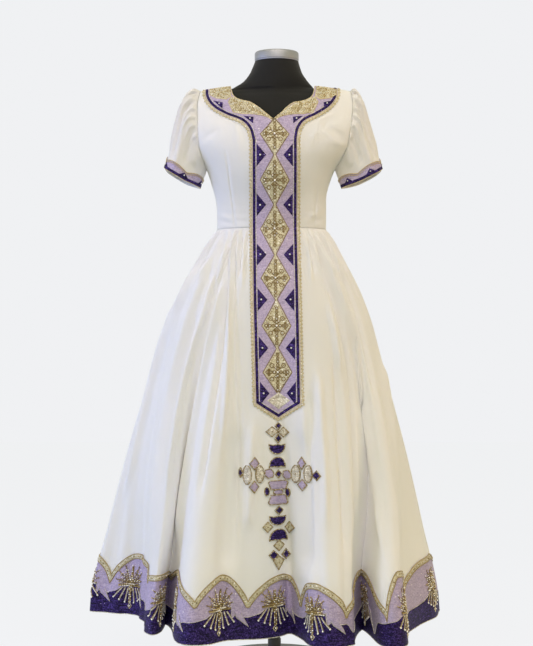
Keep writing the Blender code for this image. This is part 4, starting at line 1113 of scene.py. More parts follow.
def spray(glint, cord, x, z, wide, tall):
    """A beaded cross: stacked rings up the spine and along the arms, round leaves in the corners."""
    gap = 0.0086
    count, reach = int(0.80 * tall / gap), int(0.78 * wide / gap)
    spots = [(x, z + i * gap, 0.0037) for i in range(-count, count + 1)]
    spots += [(x + i * gap, z, 0.0036) for i in range(-reach, reach + 1) if i]
    corners = [(a, b) for a in (-1, 1) for b in (-1, 1)]
    leaves = ((0.42, 0.30, 0.0050), (0.15, 0.19, 0.0024), (0.62, 0.11, 0.0024))
    spots += [(x + a * far * wide, z + b * up * tall, radius) for a, b in corners for far, up, radius in leaves]
    for spot in spots:
        cord_ring(cord, *spot, 0.0024, 0.0012, 0.08)
    for a, b in corners:
        stem = [(x + a * 0.004, z + b * 0.006), (x + a * 0.37 * wide, z + b * 0.26 * tall)]
        ribbon(cord, front_point, stem, 0.0019, CLOTH_TOP + 0.0006, 0.0012, across=4, tone=0.12)
        rim = along([(x + a * 0.86 * wide, z + b * 0.003), (x + a * 0.003, z + b * 0.90 * tall)], 0.0068)
        beads(glint, front_point, rim, 0.0014, CLOTH_TOP + 0.0010)
    # Beads of higher shine are larger and brighter; their brightest tones and the full-tone centre bead are painted
    # glints.
    places = np.array([spot[:2] for spot in spots])
    shine = np.mod(places[:, 0] * 613.1 + places[:, 1] * 377.7, 1.0)
    sizes = np.where(shine > 0.62, 0.0021, 0.0016)
    beads(glint, front_point, places, sizes, CLOTH_TOP + 0.0012, 0.30 + 0.70 * shine)
    beads(glint, front_point, [(x, z)], 0.0034, CLOTH_TOP + 0.0014, 1.0)


def filled(outline, step):
    """Places in a close lattice inside an outline."""
    (u0, v0), (u1, v1) = outline.min(0), outline.max(0)
    spots = lattice(np.arange(u0, u1, step), np.arange(v0, v1, step * 0.87), step)
    spots = spots[inside(spots, outline)]
    spots = spots[from_edge(spots, outline) > 0.28 * step]
    u, v = spots[:, 0], spots[:, 1]
    return spots + 0.16 * step * np.stack([np.sin(v * 911 + u * 377), np.cos(u * 823 - v * 291)], axis=1)


# Yoke ornament of the left side: filled fields that run from the neck.
GOLD_FIELDS = (
    [(-0.1680, 1.4800), (-0.1672, 1.4640), (-0.1500, 1.4530), (-0.1250, 1.4485), (-0.1120, 1.4560),
     (-0.1140, 1.4700), (-0.1165, 1.4860), (-0.1400, 1.4850)],
    [(-0.1115, 1.4540), (-0.1195, 1.4400), (-0.1060, 1.4110), (-0.0820, 1.4060), (-0.0560, 1.4050),
     (-0.0330, 1.4010), (-0.0150, 1.3945), (-0.0070, 1.3930), (-0.0370, 1.4195), (-0.0630, 1.4370),
     (-0.0854, 1.4435), (-0.1000, 1.4505)],
)
DARK_FIELDS = (
    [(-0.1580, 1.4470), (-0.1330, 1.4400), (-0.1335, 1.4225)],
    [(-0.0800, 1.4005), (-0.0545, 1.3975), (-0.0555, 1.3800)],
)
TIP_DIAMOND = [(0.0075, 0.7085), (0.0365, 0.6890), (0.0072, 0.6675), (-0.0212, 0.6890)]


def sided(fields, side):
    """Yoke fields of the left side, or their mirror on the right."""
    return [np.array([(x if side < 0 else -0.0100 - x, z) for x, z in field]) for field in fields]


def make_front_work():
    """Applique, couched cord and beads of yoke and strip."""
    dark, pale, cream, gold, bead, crystal = heaps = [Heap() for _ in range(6)]
    on, top = front_point, CLOTH_TOP
    ribbon(pale, on, offset(EDGE, 0.0004), 0.0062, 0.0012, 0.0010)
    waves = wavy(EDGE, -0.0016, 0.0026, 0.0092)
    ribbon(gold, on, waves, 0.0018, 0.0019, 0.0013, step=0.0013, across=4, tone=0.75)
    ribbon(gold, on, offset(EDGE, 0.0042), 0.0014, top, 0.0012, tone=0.8)
    ribbon(dark, on, offset(EDGE, 0.0084), 0.0068, top, 0.0009, across=6)
    ribbon(cream, on, offset(EDGE, 0.0128), 0.0014, top, 0.0009)
    spots = along(offset(spaced(EDGE, 0.004), 0.0004), 0.0088, 0.25)
    beads(bead, on, spots, 0.0012, top + 0.0008, 0.55 + 0.4 * scattered(len(spots)))
    # Diamonds with their sprays, joined by short necks, and the dark triangles at the joins.
    for z, above, below in zip(CENTRES, (1.3900, *JOINS[:-1]), JOINS):
        x, low, wide = strip_middle(z), strip_middle(below), 0.0350
        patch(pale, on, [(low, below), (x + wide, z), (x, above), (x - wide, z)], top, 0.0010)
        if below > 0.71:
            ribbon(pale, on, [(low, below + 0.012), (low, below - 0.012)], 0.0056, top, 0.0011)
        spray(bead, gold, x, z, wide, (above - below) / 2)
        for side in (-1, 1):
            rim = [(low + side * 0.0024, below), (x + side * (wide + 0.001), z), (x + side * 0.0024, above)]
            ribbon(gold, on, rim, 0.0020, top, 0.0013, tone=0.15)
    for side in (-1, 1):
        for below in JOINS:
            base = float(strip_edge(side_name(side), below)) - side * 0.0146
            point = strip_middle(below) + side * 0.0215
            patch(dark, on, [(base, below - 0.0285), (base, below + 0.0285), (point, below)], top, 0.0012)
            beads(crystal, on, [(base + (point - base) * 0.38, below)], 0.0025, top + 0.0010)
    patch(cream, on, TIP_DIAMOND, top, 0.0010)
    for side in (-1, 1):
        for outline in sided(GOLD_FIELDS, side):
            patch(pale, on, outline, top, 0.0010)
            ribbon(gold, on, closed_up(outline), 0.0015, top, 0.0015, tone=0.6)
            spots = filled(outline, 0.0050)
            size = scattered(len(spots), 0.37)
            tones = 0.38 + 0.62 * np.mod(size * 5.3 + 0.2, 1.0)
            beads(bead, on, spots, 0.0013 + 0.0008 * size, top + 0.0010, tones)
            for spot in filled(outline, 0.0150):
                cord_ring(gold, *spot, 0.0036, 0.0015, 0.0011, 0.3)
        for outline in sided(DARK_FIELDS, side):
            patch(dark, on, outline, top, 0.0012)
            beads(crystal, on, [outline.mean(0)], 0.0022, top + 0.0010)
    ribbon(gold, on, front_neck(-0.1148, 0.1028, 14, 0.0010), 0.0024, top - 0.0002, 0.0014, tone=0.8)
    names = ("purple", "champagne", "cream", "cord", "beads", "crystals")
    for name, heap, kind in zip(names, heaps, ("purple", "pale", "cream", "gold", "beads", "crystal")):
        piece("work_front_" + name, heap, kind)


# ---------------------------------------------------------------- the hem

# Middle of each beaded cross along the front hem; the back's stand under their peaks.
CROSS_AT = (0.117, 0.420, 0.680, 0.857, 1.007, 1.212, 1.540, 1.785, 2.115)
MIDDLES = np.append(CROSS_AT, PEAKS[len(CROSS_AT):])
# Height of the dark field to the left and right of a cross, and the places where it dips.
DARK = table("far high", """
    -.11 .049 | -.07 .052 | -.04 .06 | -.03 .068 | -.012 .072 | .012 .072 | .031 .075 | .037 .079 | .0385 .05 |
    .048 .058 | .075 .052 | .11 .049""")
DIPS = (
    (0.735, 0.030, 0.016), (1.325, 0.022, 0.020), (1.640, 0.045, 0.034), (0.262, 0.040, 0.012), (1.880, 0.050, 0.010),
)


def hem_lengths():
    """Distances round the hem with a point at each valley, peak and corner of the dark field."""
    even = np.arange(STARTS[0], STARTS[-1], 0.0052)
    marks = np.concatenate([STARTS, PEAKS, *[MIDDLES + far for far in DARK["far"][5:10]]])
    marks = marks[(marks > STARTS[0]) & (marks < STARTS[-1])]
    even = even[np.abs(even[:, None] - marks[None, :]).min(1) > 0.0012]
    return np.unique(np.round(np.concatenate([even, marks, STARTS[[0, -1]]]), 5))


def dark_top(lengths):
    """Height of the dark field above the hem."""
    near = lengths - MIDDLES[np.abs(lengths[..., None] - MIDDLES).argmin(-1)]
    high = np.interp(near, DARK["far"], DARK["high"])
    for at, width, deep in DIPS:
        high = high - deep * swell(lengths, at, width / 2)
    return np.clip(high, 0.006, border_height(lengths) - 0.016)


def band_width(lengths):
    """Height that the gold band takes where it runs level or steep."""
    e = 0.002
    slope = np.abs(border_height(lengths + e) - border_height(lengths - e)) / (2 * e)
    return 0.0125 * np.minimum(np.sqrt(1 + slope * slope), 1.9)


def raised(point, lengths, bottom, top, rows, lift):
    """Grid of points between two heights above an edge."""
    high = bottom + (top - bottom) * np.linspace(0, 1, rows)[:, None]
    return lifted(point, np.broadcast_to(lengths, high.shape), high, lift + 0 * high)[0]


def make_hem():
    """The scalloped border: lavender ground, dark lower field, gold band, beaded crosses."""
    every = hem_lengths()
    wrapped = np.concatenate([every[every > HEM_TOTAL] - HEM_TOTAL, every])
    dark, bead, gold, pale, ray, spear = (Heap() for _ in range(6))
    on, lift = hem_point, CLOTH_TOP
    crown = np.array([[0.0018], [0.0032], [0.0034], [0.0032], [0.0018]])
    for name, (start, stop) in PANELS.items():
        run = wrapped[(wrapped > start + 0.0008) & (wrapped < stop - 0.0008)]
        lengths = np.unique(np.concatenate([[start + 0.0003], run, [stop - 0.0003]]))
        shifted = np.where(lengths < STARTS[0], lengths + HEM_TOTAL, lengths)
        top, wide, field = border_height(shifted), band_width(shifted), dark_top(shifted)
        ground = raised(on, lengths, 0, top, 12, lift)
        cloth_piece("band_hem_" + name, ground, BAND, "lavender", "hem_border_" + name)
        dark.take(*grid_shape(raised(on, lengths, 0, field, 9, lift + 0.0008)))
        pale.take(*grid_shape(raised(on, lengths, top - wide, top, 5, crown)))
        for high, width, tone in ((top - 0.0004, 0.0027, 0.35), (top - wide, 0.0023, 0.3)):
            ribbon(gold, on, np.stack([lengths, high], axis=1), width, lift, 0.0024, step=0.006, tone=tone)
        path = np.stack([lengths, field], axis=1)
        ribbon(ray, on, path, 0.0013, lift + 0.0004, 0.0012, step=0.006, across=4)
        path = np.stack([lengths, 0 * lengths + 0.0008], axis=1)
        ribbon(ray, on, path, 0.0026, lift - 0.0006, 0.0022, step=0.006, tone=0.2)
    for i, middle in enumerate(MIDDLES):
        sunburst(bead, gold, ray, middle, HIGHS[i] - 0.150, 0.80 if i in (2, 7) else 1.0)
        a, b = STARTS[i], STARTS[i + 1]
        count = int((b - a) / 0.0085)
        inner = a + (b - a) * (np.arange(count) + 0.5) / count
        places = np.stack([inner, border_height(inner) - 0.5 * band_width(inner)], axis=1)
        beads(bead, on, places, 0.0014 + 0.0007 * scattered(count, 0.41), lift + 0.0016, scattered(count))
        if b - middle > 0.055:
            root, tip = middle + 0.046, (min(middle + 0.082, b + 0.012), 0.030)
            leaf = [(root, 0.068), (root + 0.006, 0.052), tip, (root + 0.017, 0.064)]
            patch(spear, on, leaf, lift + 0.0008, 0.0012, 0.004, 0.0008)
            rim = [(root + 0.001, 0.062), (root + 0.006, 0.052), tip, (root + 0.017, 0.063)]
            ribbon(ray, on, rim, 0.0012, lift + 0.001, 0.0014, across=4)
    thicken(piece("work_hem_purple", dark, "purple"), 0.0006)
    piece("work_hem_band", pale, "pale")
    piece("work_hem_cord", gold, "gold")
    piece("work_hem_rays", ray, "cream")
    piece("work_hem_spears", spear, "lavender")
    piece("work_hem_beads", bead, "beads")


def sunburst(bead, gold, ray, middle, up, size):
    """A beaded cross with a fan of leaves above its arms and slanting rays below them."""
    on, lift, arm = hem_point, CLOTH_TOP + 0.0010, 0.0735
    spine = [(middle, 0.030), (middle, 0.116 + up)]
    arms = [(middle - 0.036 * size, arm + 0.002), (middle + 0.036 * size, arm + 0.002)]
    ribbon(gold, on, spine, 0.0078, lift - 0.0008, 0.0011, across=4, tone=0.12)
    ribbon(gold, on, arms, 0.0046, lift - 0.0008, 0.0011, across=4, tone=0.12)
    ribbon(gold, on, [(middle, arm - 0.013), (middle, arm + 0.016)], 0.0230 * size, lift - 0.0009, 0.0011, tone=0.10)
    for far in (-0.0023, 0.0023):
        beads(bead, on, along([(middle + far, 0.030), (middle + far, 0.100)], 0.0047), 0.0022, lift)
    beads(bead, on, along([(middle, 0.098), (middle, 0.122 + up)], 0.0050), 0.0023, lift)
    for high, wide in ((arm, 0.036), (arm + 0.0045, 0.026)):
        beads(bead, on, along([(middle - wide * size, high), (middle + wide * size, high)], 0.0048), 0.0021, lift)
    for side in (-1, 1):
        for angle, reach in ((14, 0.035), (42, 0.041), (68, 0.042)):
            t = math.radians(angle)
            root = np.array((middle + side * 0.005, arm + 0.006))
            tip = root + (reach + up * 0.5) * np.array((side * math.cos(t) * size, math.sin(t)))
            normal = np.array((-math.sin(t) * side, math.cos(t)))
            ribbon(gold, on, [root, tip], 0.0026, lift - 0.0006, 0.0013, across=4, tone=0.12)
            rows = [root + k * (tip - root) + bow * (1 - 1.6 * (k - 0.48) ** 2) * normal
                    for k in (0.20, 0.34, 0.48, 0.62, 0.76) for bow in (-0.0044, 0.0044)]
            beads(bead, on, [*rows, *(root + k * (tip - root) for k in (0.55, 0.80, 1.04))], 0.0019, lift)
        for k in range(3):
            start = (middle + side * (0.0075 + 0.0085 * k) * size, 0.069)
            tip = (middle + side * (0.0150 + 0.0150 * k) * size, 0.032 + 0.006 * k)
            ribbon(ray, on, [start, tip], 0.0034, lift, 0.0015, across=4)
            beside = [(start[0] + side * 0.0022, start[1]), (tip[0] + side * 0.0016, tip[1])]
            ribbon(gold, on, beside, 0.0020, lift, 0.0012, across=4, tone=0.2)
            # Tone 0.9 paints the tip bead near white, as a glint.
            beads(bead, on, [tip], 0.0027, lift, 0.9)
    corners = ((0, 0.015), (0.0058, 0.0225), (0, 0.030), (-0.0058, 0.0225), (0, 0.015))
    diamond = [(middle + far, high) for far, high in corners]
    ribbon(gold, on, diamond, 0.0020, lift, 0.0014, across=4, tone=0.7)
    # Tone 0.9 paints the middle bead near white, as a glint.
    beads(bead, on, [(middle, 0.0225)], 0.0026, lift, 0.9)


# ---------------------------------------------------------------- the cuffs


def make_cuffs():
    """Lavender cuffs with a gold braid above and a dark edge with triangles below."""
    for side in (-1, 1):
        name, on, lift = side_name(side), cuff_point(side), CLOTH_TOP
        lengths = np.linspace(0, on.length, 181)
        angle = lengths / on.length * ROUND
        top = CUFF * (0.72 + 0.28 * np.abs(np.cos(2.5 * angle)))
        dark, gold, crystal = (Heap() for _ in range(3))
        cloth_piece("band_cuff_" + name, raised(on, lengths, 0.0002, top, 10, lift), BAND, "lavender", "cuff_" + name)
        dark.take(*grid_shape(raised(on, lengths, 0.0012, 0 * top + 0.0086, 4, lift + 0.0006)))
        for middle in np.arange(6) / 6 * on.length + 0.045:
            patch(dark, on, [(middle - 0.0125, 0.0085), (middle + 0.0125, 0.0085), (middle, 0.0195)], lift, 0.0010)
            beads(crystal, on, [(middle, 0.0120)], 0.0020, lift + 0.0010)
        path = np.stack([lengths, top - 0.0012], axis=1)
        ribbon(gold, on, path, 0.0024, lift, 0.0016)
        ribbon(gold, on, wavy(path, -0.0042, 0.0010, 0.0070), 0.0015, lift, 0.0012, across=4, step=0.0013)
        path = np.stack([lengths, 0 * lengths + 0.0006], axis=1)
        ribbon(gold, on, path, 0.0020, lift - 0.0006, 0.0016)
        piece("work_cuff_purple_" + name, dark, "purple")
        piece("work_cuff_cord_" + name, gold, "gold")
        piece("work_cuff_beads_" + name, crystal, "crystal")


# ---------------------------------------------------------------- the cross on the skirt

# Patches of the cross: kind, x, z, half width, half height, cloth.
CROSS = """
    diamond .0061 .6274 .0065 .0073 purple | diamond -.009 .614 .0134 .0109 cream |
    diamond .0191 .6124 .0122 .011 cream | diamond .0056 .597 .0069 .0089 purple |
    cup .0035 .5717 .019 .0109 purple | dome .0043 .5405 .019 .0113 purple |
    diamond .0059 .5125 .0065 .0081 purple | square -.016 .5144 .0101 .0105 lavender |
    square .0279 .5102 .0101 .0105 lavender | wide .0067 .4863 .0234 .0097 lavender |
    square .0058 .4694 .0109 .0056 lavender | narrow .0066 .4515 .0234 .0105 lavender |
    oval -.0212 .4717 .0052 .0092 purple | oval .0298 .4679 .0053 .0093 purple |
    diamond .0074 .4261 .0085 .0085 purple | cup .0049 .4021 .0193 .01 purple |
    diamond -.0192 .3879 .0108 .0112 pale | diamond .0341 .3855 .0105 .0121 pale |
    dome .0069 .3684 .0213 .0124 purple | diamond .0073 .3437 .0112 .0116 pale |
    diamond -.0056 .3218 .0096 .01 purple | diamond .0251 .3212 .0101 .0113 purple |
    kite .0064 .3034 .0112 .0148 pale | oval -.0677 .5123 .0088 .0213 cream | oval -.0385 .5136 .0096 .0197 cream |
    oval .0491 .5135 .01 .0201 cream | oval .0784 .5151 .0095 .0194 cream |
    diamond -.0513 .539 .0104 .0133 lavender | diamond -.052 .484 .0104 .0128 lavender |
    diamond .0632 .5395 .0084 .0131 lavender | diamond .0645 .4882 .0099 .0123 lavender |
    diamond -.0834 .5163 .006 .0096 purple | diamond .0979 .5124 .0087 .0103 purple"""
OVAL, ARC = np.linspace(0, ROUND, 15)[:-1], np.linspace(0, np.pi, 12)
WAVE = [(-1.0, -1.0), (-0.45, -0.8), (0.0, -1.0), (0.45, -0.8), (1.0, -1.0)]
DOME = [*zip(np.cos(ARC), -0.8 + 1.8 * np.sin(ARC)), *WAVE]
# Outlines of the kinds, counted round to the left, in half widths and half heights.
KINDS = {
    "diamond": [(1, 0), (0, 1), (-1, 0), (0, -1)],
    "square": [(1, 0.25), (0.35, 1), (-0.85, 0.75), (-1, -0.3), (-0.2, -1), (0.9, -0.75)],
    "kite": [(1, 0.35), (0, 1), (-1, 0.35), (0, -1)],
    "wide": [(0.75, -1), (1, 0.6), (0.85, 1), (-0.85, 1), (-1, 0.6), (-0.75, -1)],
    "narrow": [(0.85, -1), (1, -0.6), (0.75, 1), (-0.75, 1), (-1, -0.6), (-0.85, -1)],
    "oval": list(zip(np.cos(OVAL), np.sin(OVAL))),
    "dome": DOME,
    "cup": [(a, -b) for a, b in DOME[::-1]],
}


def make_cross():
    """The applique cross under the strip: cut patches edged with beaded gold cord."""
    heaps = {name: Heap() for name in ("purple", "lavender", "cream", "pale", "gold", "beads")}
    gold, bead, on = heaps["gold"], heaps["beads"], front_point
    for row in CROSS.split("|"):
        kind, *numbers, cloth = row.split()
        x, z, half, tall = map(float, numbers)
        outline = np.array([(x + half * a, z + tall * b) for a, b in KINDS[kind]])
        patch(heaps[cloth], on, outline, 0.0006, 0.0022, 0.0035)
        closed = spaced(closed_up(outline), 0.003)[:-1]
        ribbon(gold, on, offset(closed, -0.0006, True), 0.0024, 0.0006, 0.0026, closed=True, tone=0.2)
        rim = offset(spaced(closed, 0.0046), -0.0006, True)
        # Bead tones follow shine; the brightest are painted glints.
        shine = scattered(len(rim))
        beads(bead, on, rim, 0.0011 + 0.0006 * shine, 0.0026, shine)
        if cloth in ("cream", "pale"):
            beads(bead, on, [(x, z)], 0.0017, 0.0024)
    piece("cross_purple", heaps.pop("purple"), "purple", "cross_motif")
    for name, heap in heaps.items():
        piece("cross_" + name, heap, name, slot="lilac_band")


# ---------------------------------------------------------------- form and stand


def make_form():
    """The limbless form in black jersey, replacing its plain solid."""
    z = np.concatenate([np.linspace(0.800, 0.840, 9), np.linspace(0.85, 1.40, 60), np.linspace(1.405, 1.5562, 70)])
    columns = ("half", "centre", "front", "back", "power")
    half, centre, front, back, power = (curve(TORSO, k, z)[:, None] for k in columns)
    around = 120
    turn = np.linspace(0, ROUND, around + 1)
    s, c = np.sin(turn)[None, :], np.cos(turn)[None, :]
    x = centre + half * np.sign(s) * np.abs(s) ** (2 / power)
    y = -np.where(c > 0, front, back) * np.sign(c) * np.abs(c) ** (2 / power)
    points, faces = grid_shape(np.stack([x, y, np.broadcast_to(z[:, None], x.shape)], axis=2), closed=True)
    last = len(points) - around
    heap = Heap()
    heap.take(points, [*faces, tuple(range(around - 1, -1, -1)), tuple(range(last, last + around))])
    piece("form_jersey", heap, "jersey", "form_torso")


def turned_piece(name, outline, x, kind, node_name, steps):
    """A round piece spun about a vertical axis from its outline (radius, height)."""
    mesh = bpy.data.meshes.new(name)
    mesh.from_pydata([(r, 0, z) for r, z in outline], [(i, i + 1) for i in range(len(outline) - 1)], [])
    made = placed(name, mesh)
    bpy.ops.object.mode_set(mode="EDIT")
    bpy.ops.mesh.select_all(action="SELECT")
    bpy.ops.mesh.spin(steps=steps, angle=2 * math.pi, center=(0, 0, 0), axis=(0, 0, 1))
    bpy.ops.mesh.select_all(action="SELECT")
    bpy.ops.mesh.remove_doubles(threshold=0.00001)
    bpy.ops.mesh.normals_make_consistent(inside=False)
    bpy.ops.object.mode_set(mode="OBJECT")
    mesh.transform(Matrix.Translation((x, 0, 0)))
    mesh.materials.append(look(kind))
    ride(made, [node_name], 32)


def make_stand():
    """Aluminium cap, pole and base plate, each spun from its outline."""
    low, high = 1.5565, 1.5815
    r = 0.0572
    cap = [(0, high), (0.020, high), (r - 0.006, high - 0.0003), (r - 0.0028, high - 0.0010),
           (r - 0.0008, high - 0.0030), (r, high - 0.0055), (r, low + 0.0040), (r - 0.0012, low + 0.0034),
           (r - 0.0012, low + 0.0020), (r - 0.0002, low + 0.0014), (r - 0.0008, low), (0.050, low), (0, low)]
    turned_piece("stand_cap", cap, 0.0045, "metal", "neck_cap", 96)
    top = 0.7997
    pole = [(0, top), (0.0152, top), (0.0152, 0.060), (0.0170, 0.0585), (0.0170, 0.020), (0.0205, 0.0180),
            (0.0205, 0.0124), (0, 0.0124)]
    turned_piece("stand_tube", pole, -0.0015, "paint", "stand_pole", 64)
    base = [(0, 0.012), (0.040, 0.012), (0.160, 0.0105), (0.1665, 0.0090), (0.170, 0.0055), (0.170, 0.0006),
            (0.1692, 0.0), (0, 0.0)]
    turned_piece("stand_plate", base, 0.0, "paint", "stand_base", 128)


# ---------------------------------------------------------------- the stage

# Lights of the stage: place, height of their aim, size and colour.
LIGHTS = {
    "top": ((0.0, -1.9, 3.3), 1.0, (2.4, 1.6), (1.0, 0.86, 0.80)),
    "front": ((0.0, -4.6, 1.3), 0.8, (2.4, 1.4), (0.56, 0.44, 1.0)),
    "left": ((-2.4, -0.6, 1.0), 0.8, (1.6, 2.0), (0.38, 0.46, 1.0)),
    "right": ((2.4, -0.6, 1.0), 0.8, (1.6, 2.0), (1.0, 0.42, 0.16)),
}


def area_light(name, power):
    place, aim, size, colour = LIGHTS[name]
    light = bpy.data.lights.new("light_" + name, "AREA")
    light.shape, light.size, light.size_y = "RECTANGLE", *size
    light.energy, light.color = power, colour
    made = bpy.data.objects.new("light_" + name, light)
    made.location = place
    made.rotation_euler = (Vector((0, 0, aim)) - Vector(place)).to_track_quat("-Z", "Y").to_euler()
    bpy.context.scene.collection.objects.link(made)


def emptied(made):
    """The node tree of a world or material, without nodes."""
    made.use_nodes = True
    made.node_tree.nodes.clear()
    return made.node_tree


def wired(tree, sources, mix, out):
    """Leads the sources through a mixing node to the output."""
    for source, socket in zip(sources, mix.inputs):
        tree.links.new(source, socket)
    tree.links.new(mix.outputs[0], out.inputs["Surface"])


def set_studio(strength):
    """A pale backdrop for the camera, and soft light that is warm in front and brighter behind."""
    bpy.context.scene.world = bpy.data.worlds.new("kemis_studio")
    tree = emptied(bpy.context.scene.world)
    out = node(tree, "ShaderNodeOutputWorld")
    seen = node(tree, "ShaderNodeLightPath")
    backdrop = node(tree, "ShaderNodeBackground", Color=(0.871, 0.879, 0.896, 1))
    ambient = node(tree, "ShaderNodeBackground", Strength=strength)
    sky = node(tree, "ShaderNodeTexCoord")
    apart = node(tree, "ShaderNodeSeparateXYZ")
    tree.links.new(sky.outputs["Generated"], apart.inputs[0])
    stops = [(0.0, (0.495, 0.51, 0.32)), (1.0, (0.90, 0.88, 0.80))]
    tree.links.new(ramp(tree, apart.outputs["Y"], stops), ambient.inputs["Color"])
    sources = (seen.outputs["Is Camera Ray"], ambient.outputs[0], backdrop.outputs[0])
    wired(tree, sources, node(tree, "ShaderNodeMixShader"), out)


def lay_floor():
    bpy.ops.mesh.primitive_plane_add(size=14, location=(0, 0, -0.001))
    floor = bpy.context.object
    floor.name = "studio_floor"
    material = bpy.data.materials.new("studio_floor")
    tree = emptied(material)
    out = node(tree, "ShaderNodeOutputMaterial")
    glow = node(tree, "ShaderNodeEmission", Color=(0.837, 0.846, 0.866, 1))
    matt = node(tree, "ShaderNodeBsdfDiffuse", Color=(0.05, 0.05, 0.05, 1))
    wired(tree, (glow.outputs[0], matt.outputs[0]), node(tree, "ShaderNodeAddShader"), out)
    floor.data.materials.append(material)
    floor.visible_diffuse = False


def set_camera(scene):
    lens = bpy.data.cameras.new("kemis_camera")
    lens.lens, lens.sensor_width = 81.5, 36
    camera = bpy.data.objects.new("kemis_camera", lens)
    camera.location, camera.rotation_euler = (-0.022, -3.8, 0.878), (math.radians(90), 0, 0)
    scene.collection.objects.link(camera)
    scene.camera = camera
    scene.view_settings.view_transform = "Standard"


# ---------------------------------------------------------------- settings, buttons and panel


class KemisSizes(bpy.types.PropertyGroup):
    """Thicknesses of the cloth."""

    skirt_wall: FloatProperty(
        name="Skirt wall", description="Thickness of the skirt's cloth", default=0.0012, unit="LENGTH")
    bodice_wall: FloatProperty(
        name="Bodice wall", description="Thickness of the lined bodice", default=0.0014, unit="LENGTH")
    sleeve_wall: FloatProperty(
        name="Sleeve wall", description="Thickness of the sleeve's cloth", default=0.0010, unit="LENGTH")


class KemisColours(bpy.types.PropertyGroup):
    """Colours of the cloth and the thread."""

    white: FloatVectorProperty(
        name="White", description="Handwoven white cotton", subtype="COLOR", size=3, default=(0.91, 0.90, 0.885))
    lavender: FloatVectorProperty(
        name="Lavender", description="Ground of the bands", subtype="COLOR", size=3, default=(0.45, 0.37, 0.545))
    purple: FloatVectorProperty(
        name="Purple", description="Dark edging and applique", subtype="COLOR", size=3,
        default=(0.020, 0.008, 0.082))
    gold: FloatVectorProperty(
        name="Gold", description="Cord and thread", subtype="COLOR", size=3, default=(0.53, 0.41, 0.185))


class KemisLight(bpy.types.PropertyGroup):
    """Strength of each light of the stage."""

    room: FloatProperty(
        name="Room", description="Soft light of the whole studio, warm in front and brighter behind", default=1.0)
    top: FloatProperty(name="Top", description="Large ceiling light", default=50.0, unit="POWER")
    front: FloatProperty(
        name="Front", description="Large cool window behind the camera", default=19.0, unit="POWER")
    left: FloatProperty(name="Left", description="Cool window light from the left", default=33.0, unit="POWER")
    right: FloatProperty(name="Right", description="Warm room light from the right", default=10.0, unit="POWER")


class KEMIS_OT_skirt(bpy.types.Operator):
    """Build the gathered skirt"""

    bl_idname = "kemis.skirt"
    bl_label = "Skirt"

    def execute(self, context):
        make_skirt(context.scene.kemis_sizes.skirt_wall)
        return {"FINISHED"}


class KEMIS_OT_bodice(bpy.types.Operator):
    """Build the bodice and its sleeves"""

    bl_idname = "kemis.bodice"
    bl_label = "Bodice and sleeves"

    def execute(self, context):
        sizes = context.scene.kemis_sizes
        make_bodice(sizes.bodice_wall)
        make_sleeves(sizes.sleeve_wall)
        return {"FINISHED"}


class KEMIS_OT_bands(bpy.types.Operator):
    """Build the lavender bands of neck, strip, cuffs and hem"""

    bl_idname = "kemis.bands"
    bl_label = "Bands"

    def execute(self, context):
        make_bases()
        make_hem()
        make_cuffs()
        return {"FINISHED"}


class KEMIS_OT_work(bpy.types.Operator):
    """Lay the applique, cord and beads"""

    bl_idname = "kemis.work"
    bl_label = "Applique and beads"

    def execute(self, context):
        make_front_work()
        make_cross()
        return {"FINISHED"}


# Cut of each panel: flat width and length, flat area, how it is held and the pieces sewn on it.
CUTS = (
    ("cloth_skirt_front", (2.28, 1.06), 1.58, "gathered", ["band_hem_front"]),
    ("cloth_skirt_back_right", (0.90, 1.06), 0.66, "gathered", ["band_hem_back_right"]),
    ("cloth_skirt_back_left", (0.85, 1.06), 0.63, "gathered", ["band_hem_back_left"]),
    ("cloth_bodice_front", (0.46, 0.40), 0.158, "stretched", ["band_neck_yoke_front", "band_front_strip"]),
    ("cloth_bodice_back_left", (0.24, 0.40), 0.080, "stretched", ["band_neck_yoke_back_left"]),
    ("cloth_bodice_back_right", (0.24, 0.40), 0.082, "stretched", ["band_neck_yoke_back_right"]),
    ("cloth_sleeve_left", (0.50, 0.24), 0.078, "gathered", ["band_cuff_left"]),
    ("cloth_sleeve_right", (0.50, 0.24), 0.076, "gathered", ["band_cuff_right"]),
)


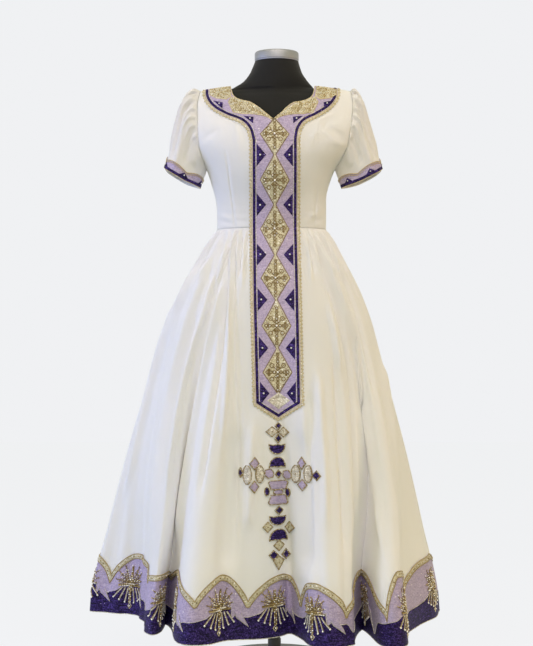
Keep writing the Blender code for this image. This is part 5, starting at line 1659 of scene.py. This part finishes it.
class KEMIS_OT_cuts(bpy.types.Operator):
    """Look up the pieces sewn on each panel"""

    bl_idname = "kemis.cuts"
    bl_label = "Cut sizes"

    def execute(self, context):
        objects = bpy.data.objects
        for name, flat, area, held, sewn in CUTS:
            sewn = [objects[n] for n in sewn]
        return {"FINISHED"}


class KEMIS_OT_form(bpy.types.Operator):
    """Build the dress form and its stand"""

    bl_idname = "kemis.form"
    bl_label = "Form and stand"

    def execute(self, context):
        make_form()
        make_stand()
        return {"FINISHED"}


class KEMIS_OT_stage(bpy.types.Operator):
    """Set the pale studio, the lights and the camera"""

    bl_idname = "kemis.stage"
    bl_label = "Stage"

    def execute(self, context):
        power = context.scene.kemis_light
        set_studio(power.room)
        lay_floor()
        for name in LIGHTS:
            area_light(name, getattr(power, name))
        set_camera(context.scene)
        return {"FINISHED"}


class KEMIS_PT_panel(bpy.types.Panel):
    """Sidebar panel of the kemis"""

    bl_idname = "KEMIS_PT_panel"
    bl_label = "Habesha Kemis"
    bl_space_type = "VIEW_3D"
    bl_region_type = "UI"
    bl_category = "Kemis"

    def draw(self, context):
        layout = self.layout
        for group in (context.scene.kemis_sizes, context.scene.kemis_colours, context.scene.kemis_light):
            box = layout.box()
            for name in group.__annotations__:
                box.prop(group, name)
        for name in STEPS:
            layout.operator("kemis." + name)


STEPS = ("form", "skirt", "bodice", "bands", "work", "cuts", "stage")
CLASSES = (
    KemisSizes, KemisColours, KemisLight, KEMIS_OT_skirt, KEMIS_OT_bodice, KEMIS_OT_bands, KEMIS_OT_work,
    KEMIS_OT_cuts, KEMIS_OT_form, KEMIS_OT_stage, KEMIS_PT_panel,
)


def register():
    for item in CLASSES:
        bpy.utils.register_class(item)
    bpy.types.Scene.kemis_sizes = PointerProperty(type=KemisSizes)
    bpy.types.Scene.kemis_colours = PointerProperty(type=KemisColours)
    bpy.types.Scene.kemis_light = PointerProperty(type=KemisLight)


def unregister():
    for name in ("kemis_light", "kemis_colours", "kemis_sizes"):
        delattr(bpy.types.Scene, name)
    for item in reversed(CLASSES):
        bpy.utils.unregister_class(item)


def main():
    register()
    for name in STEPS:
        getattr(bpy.ops.kemis, name)()


if __name__ == "__main__":
    main()
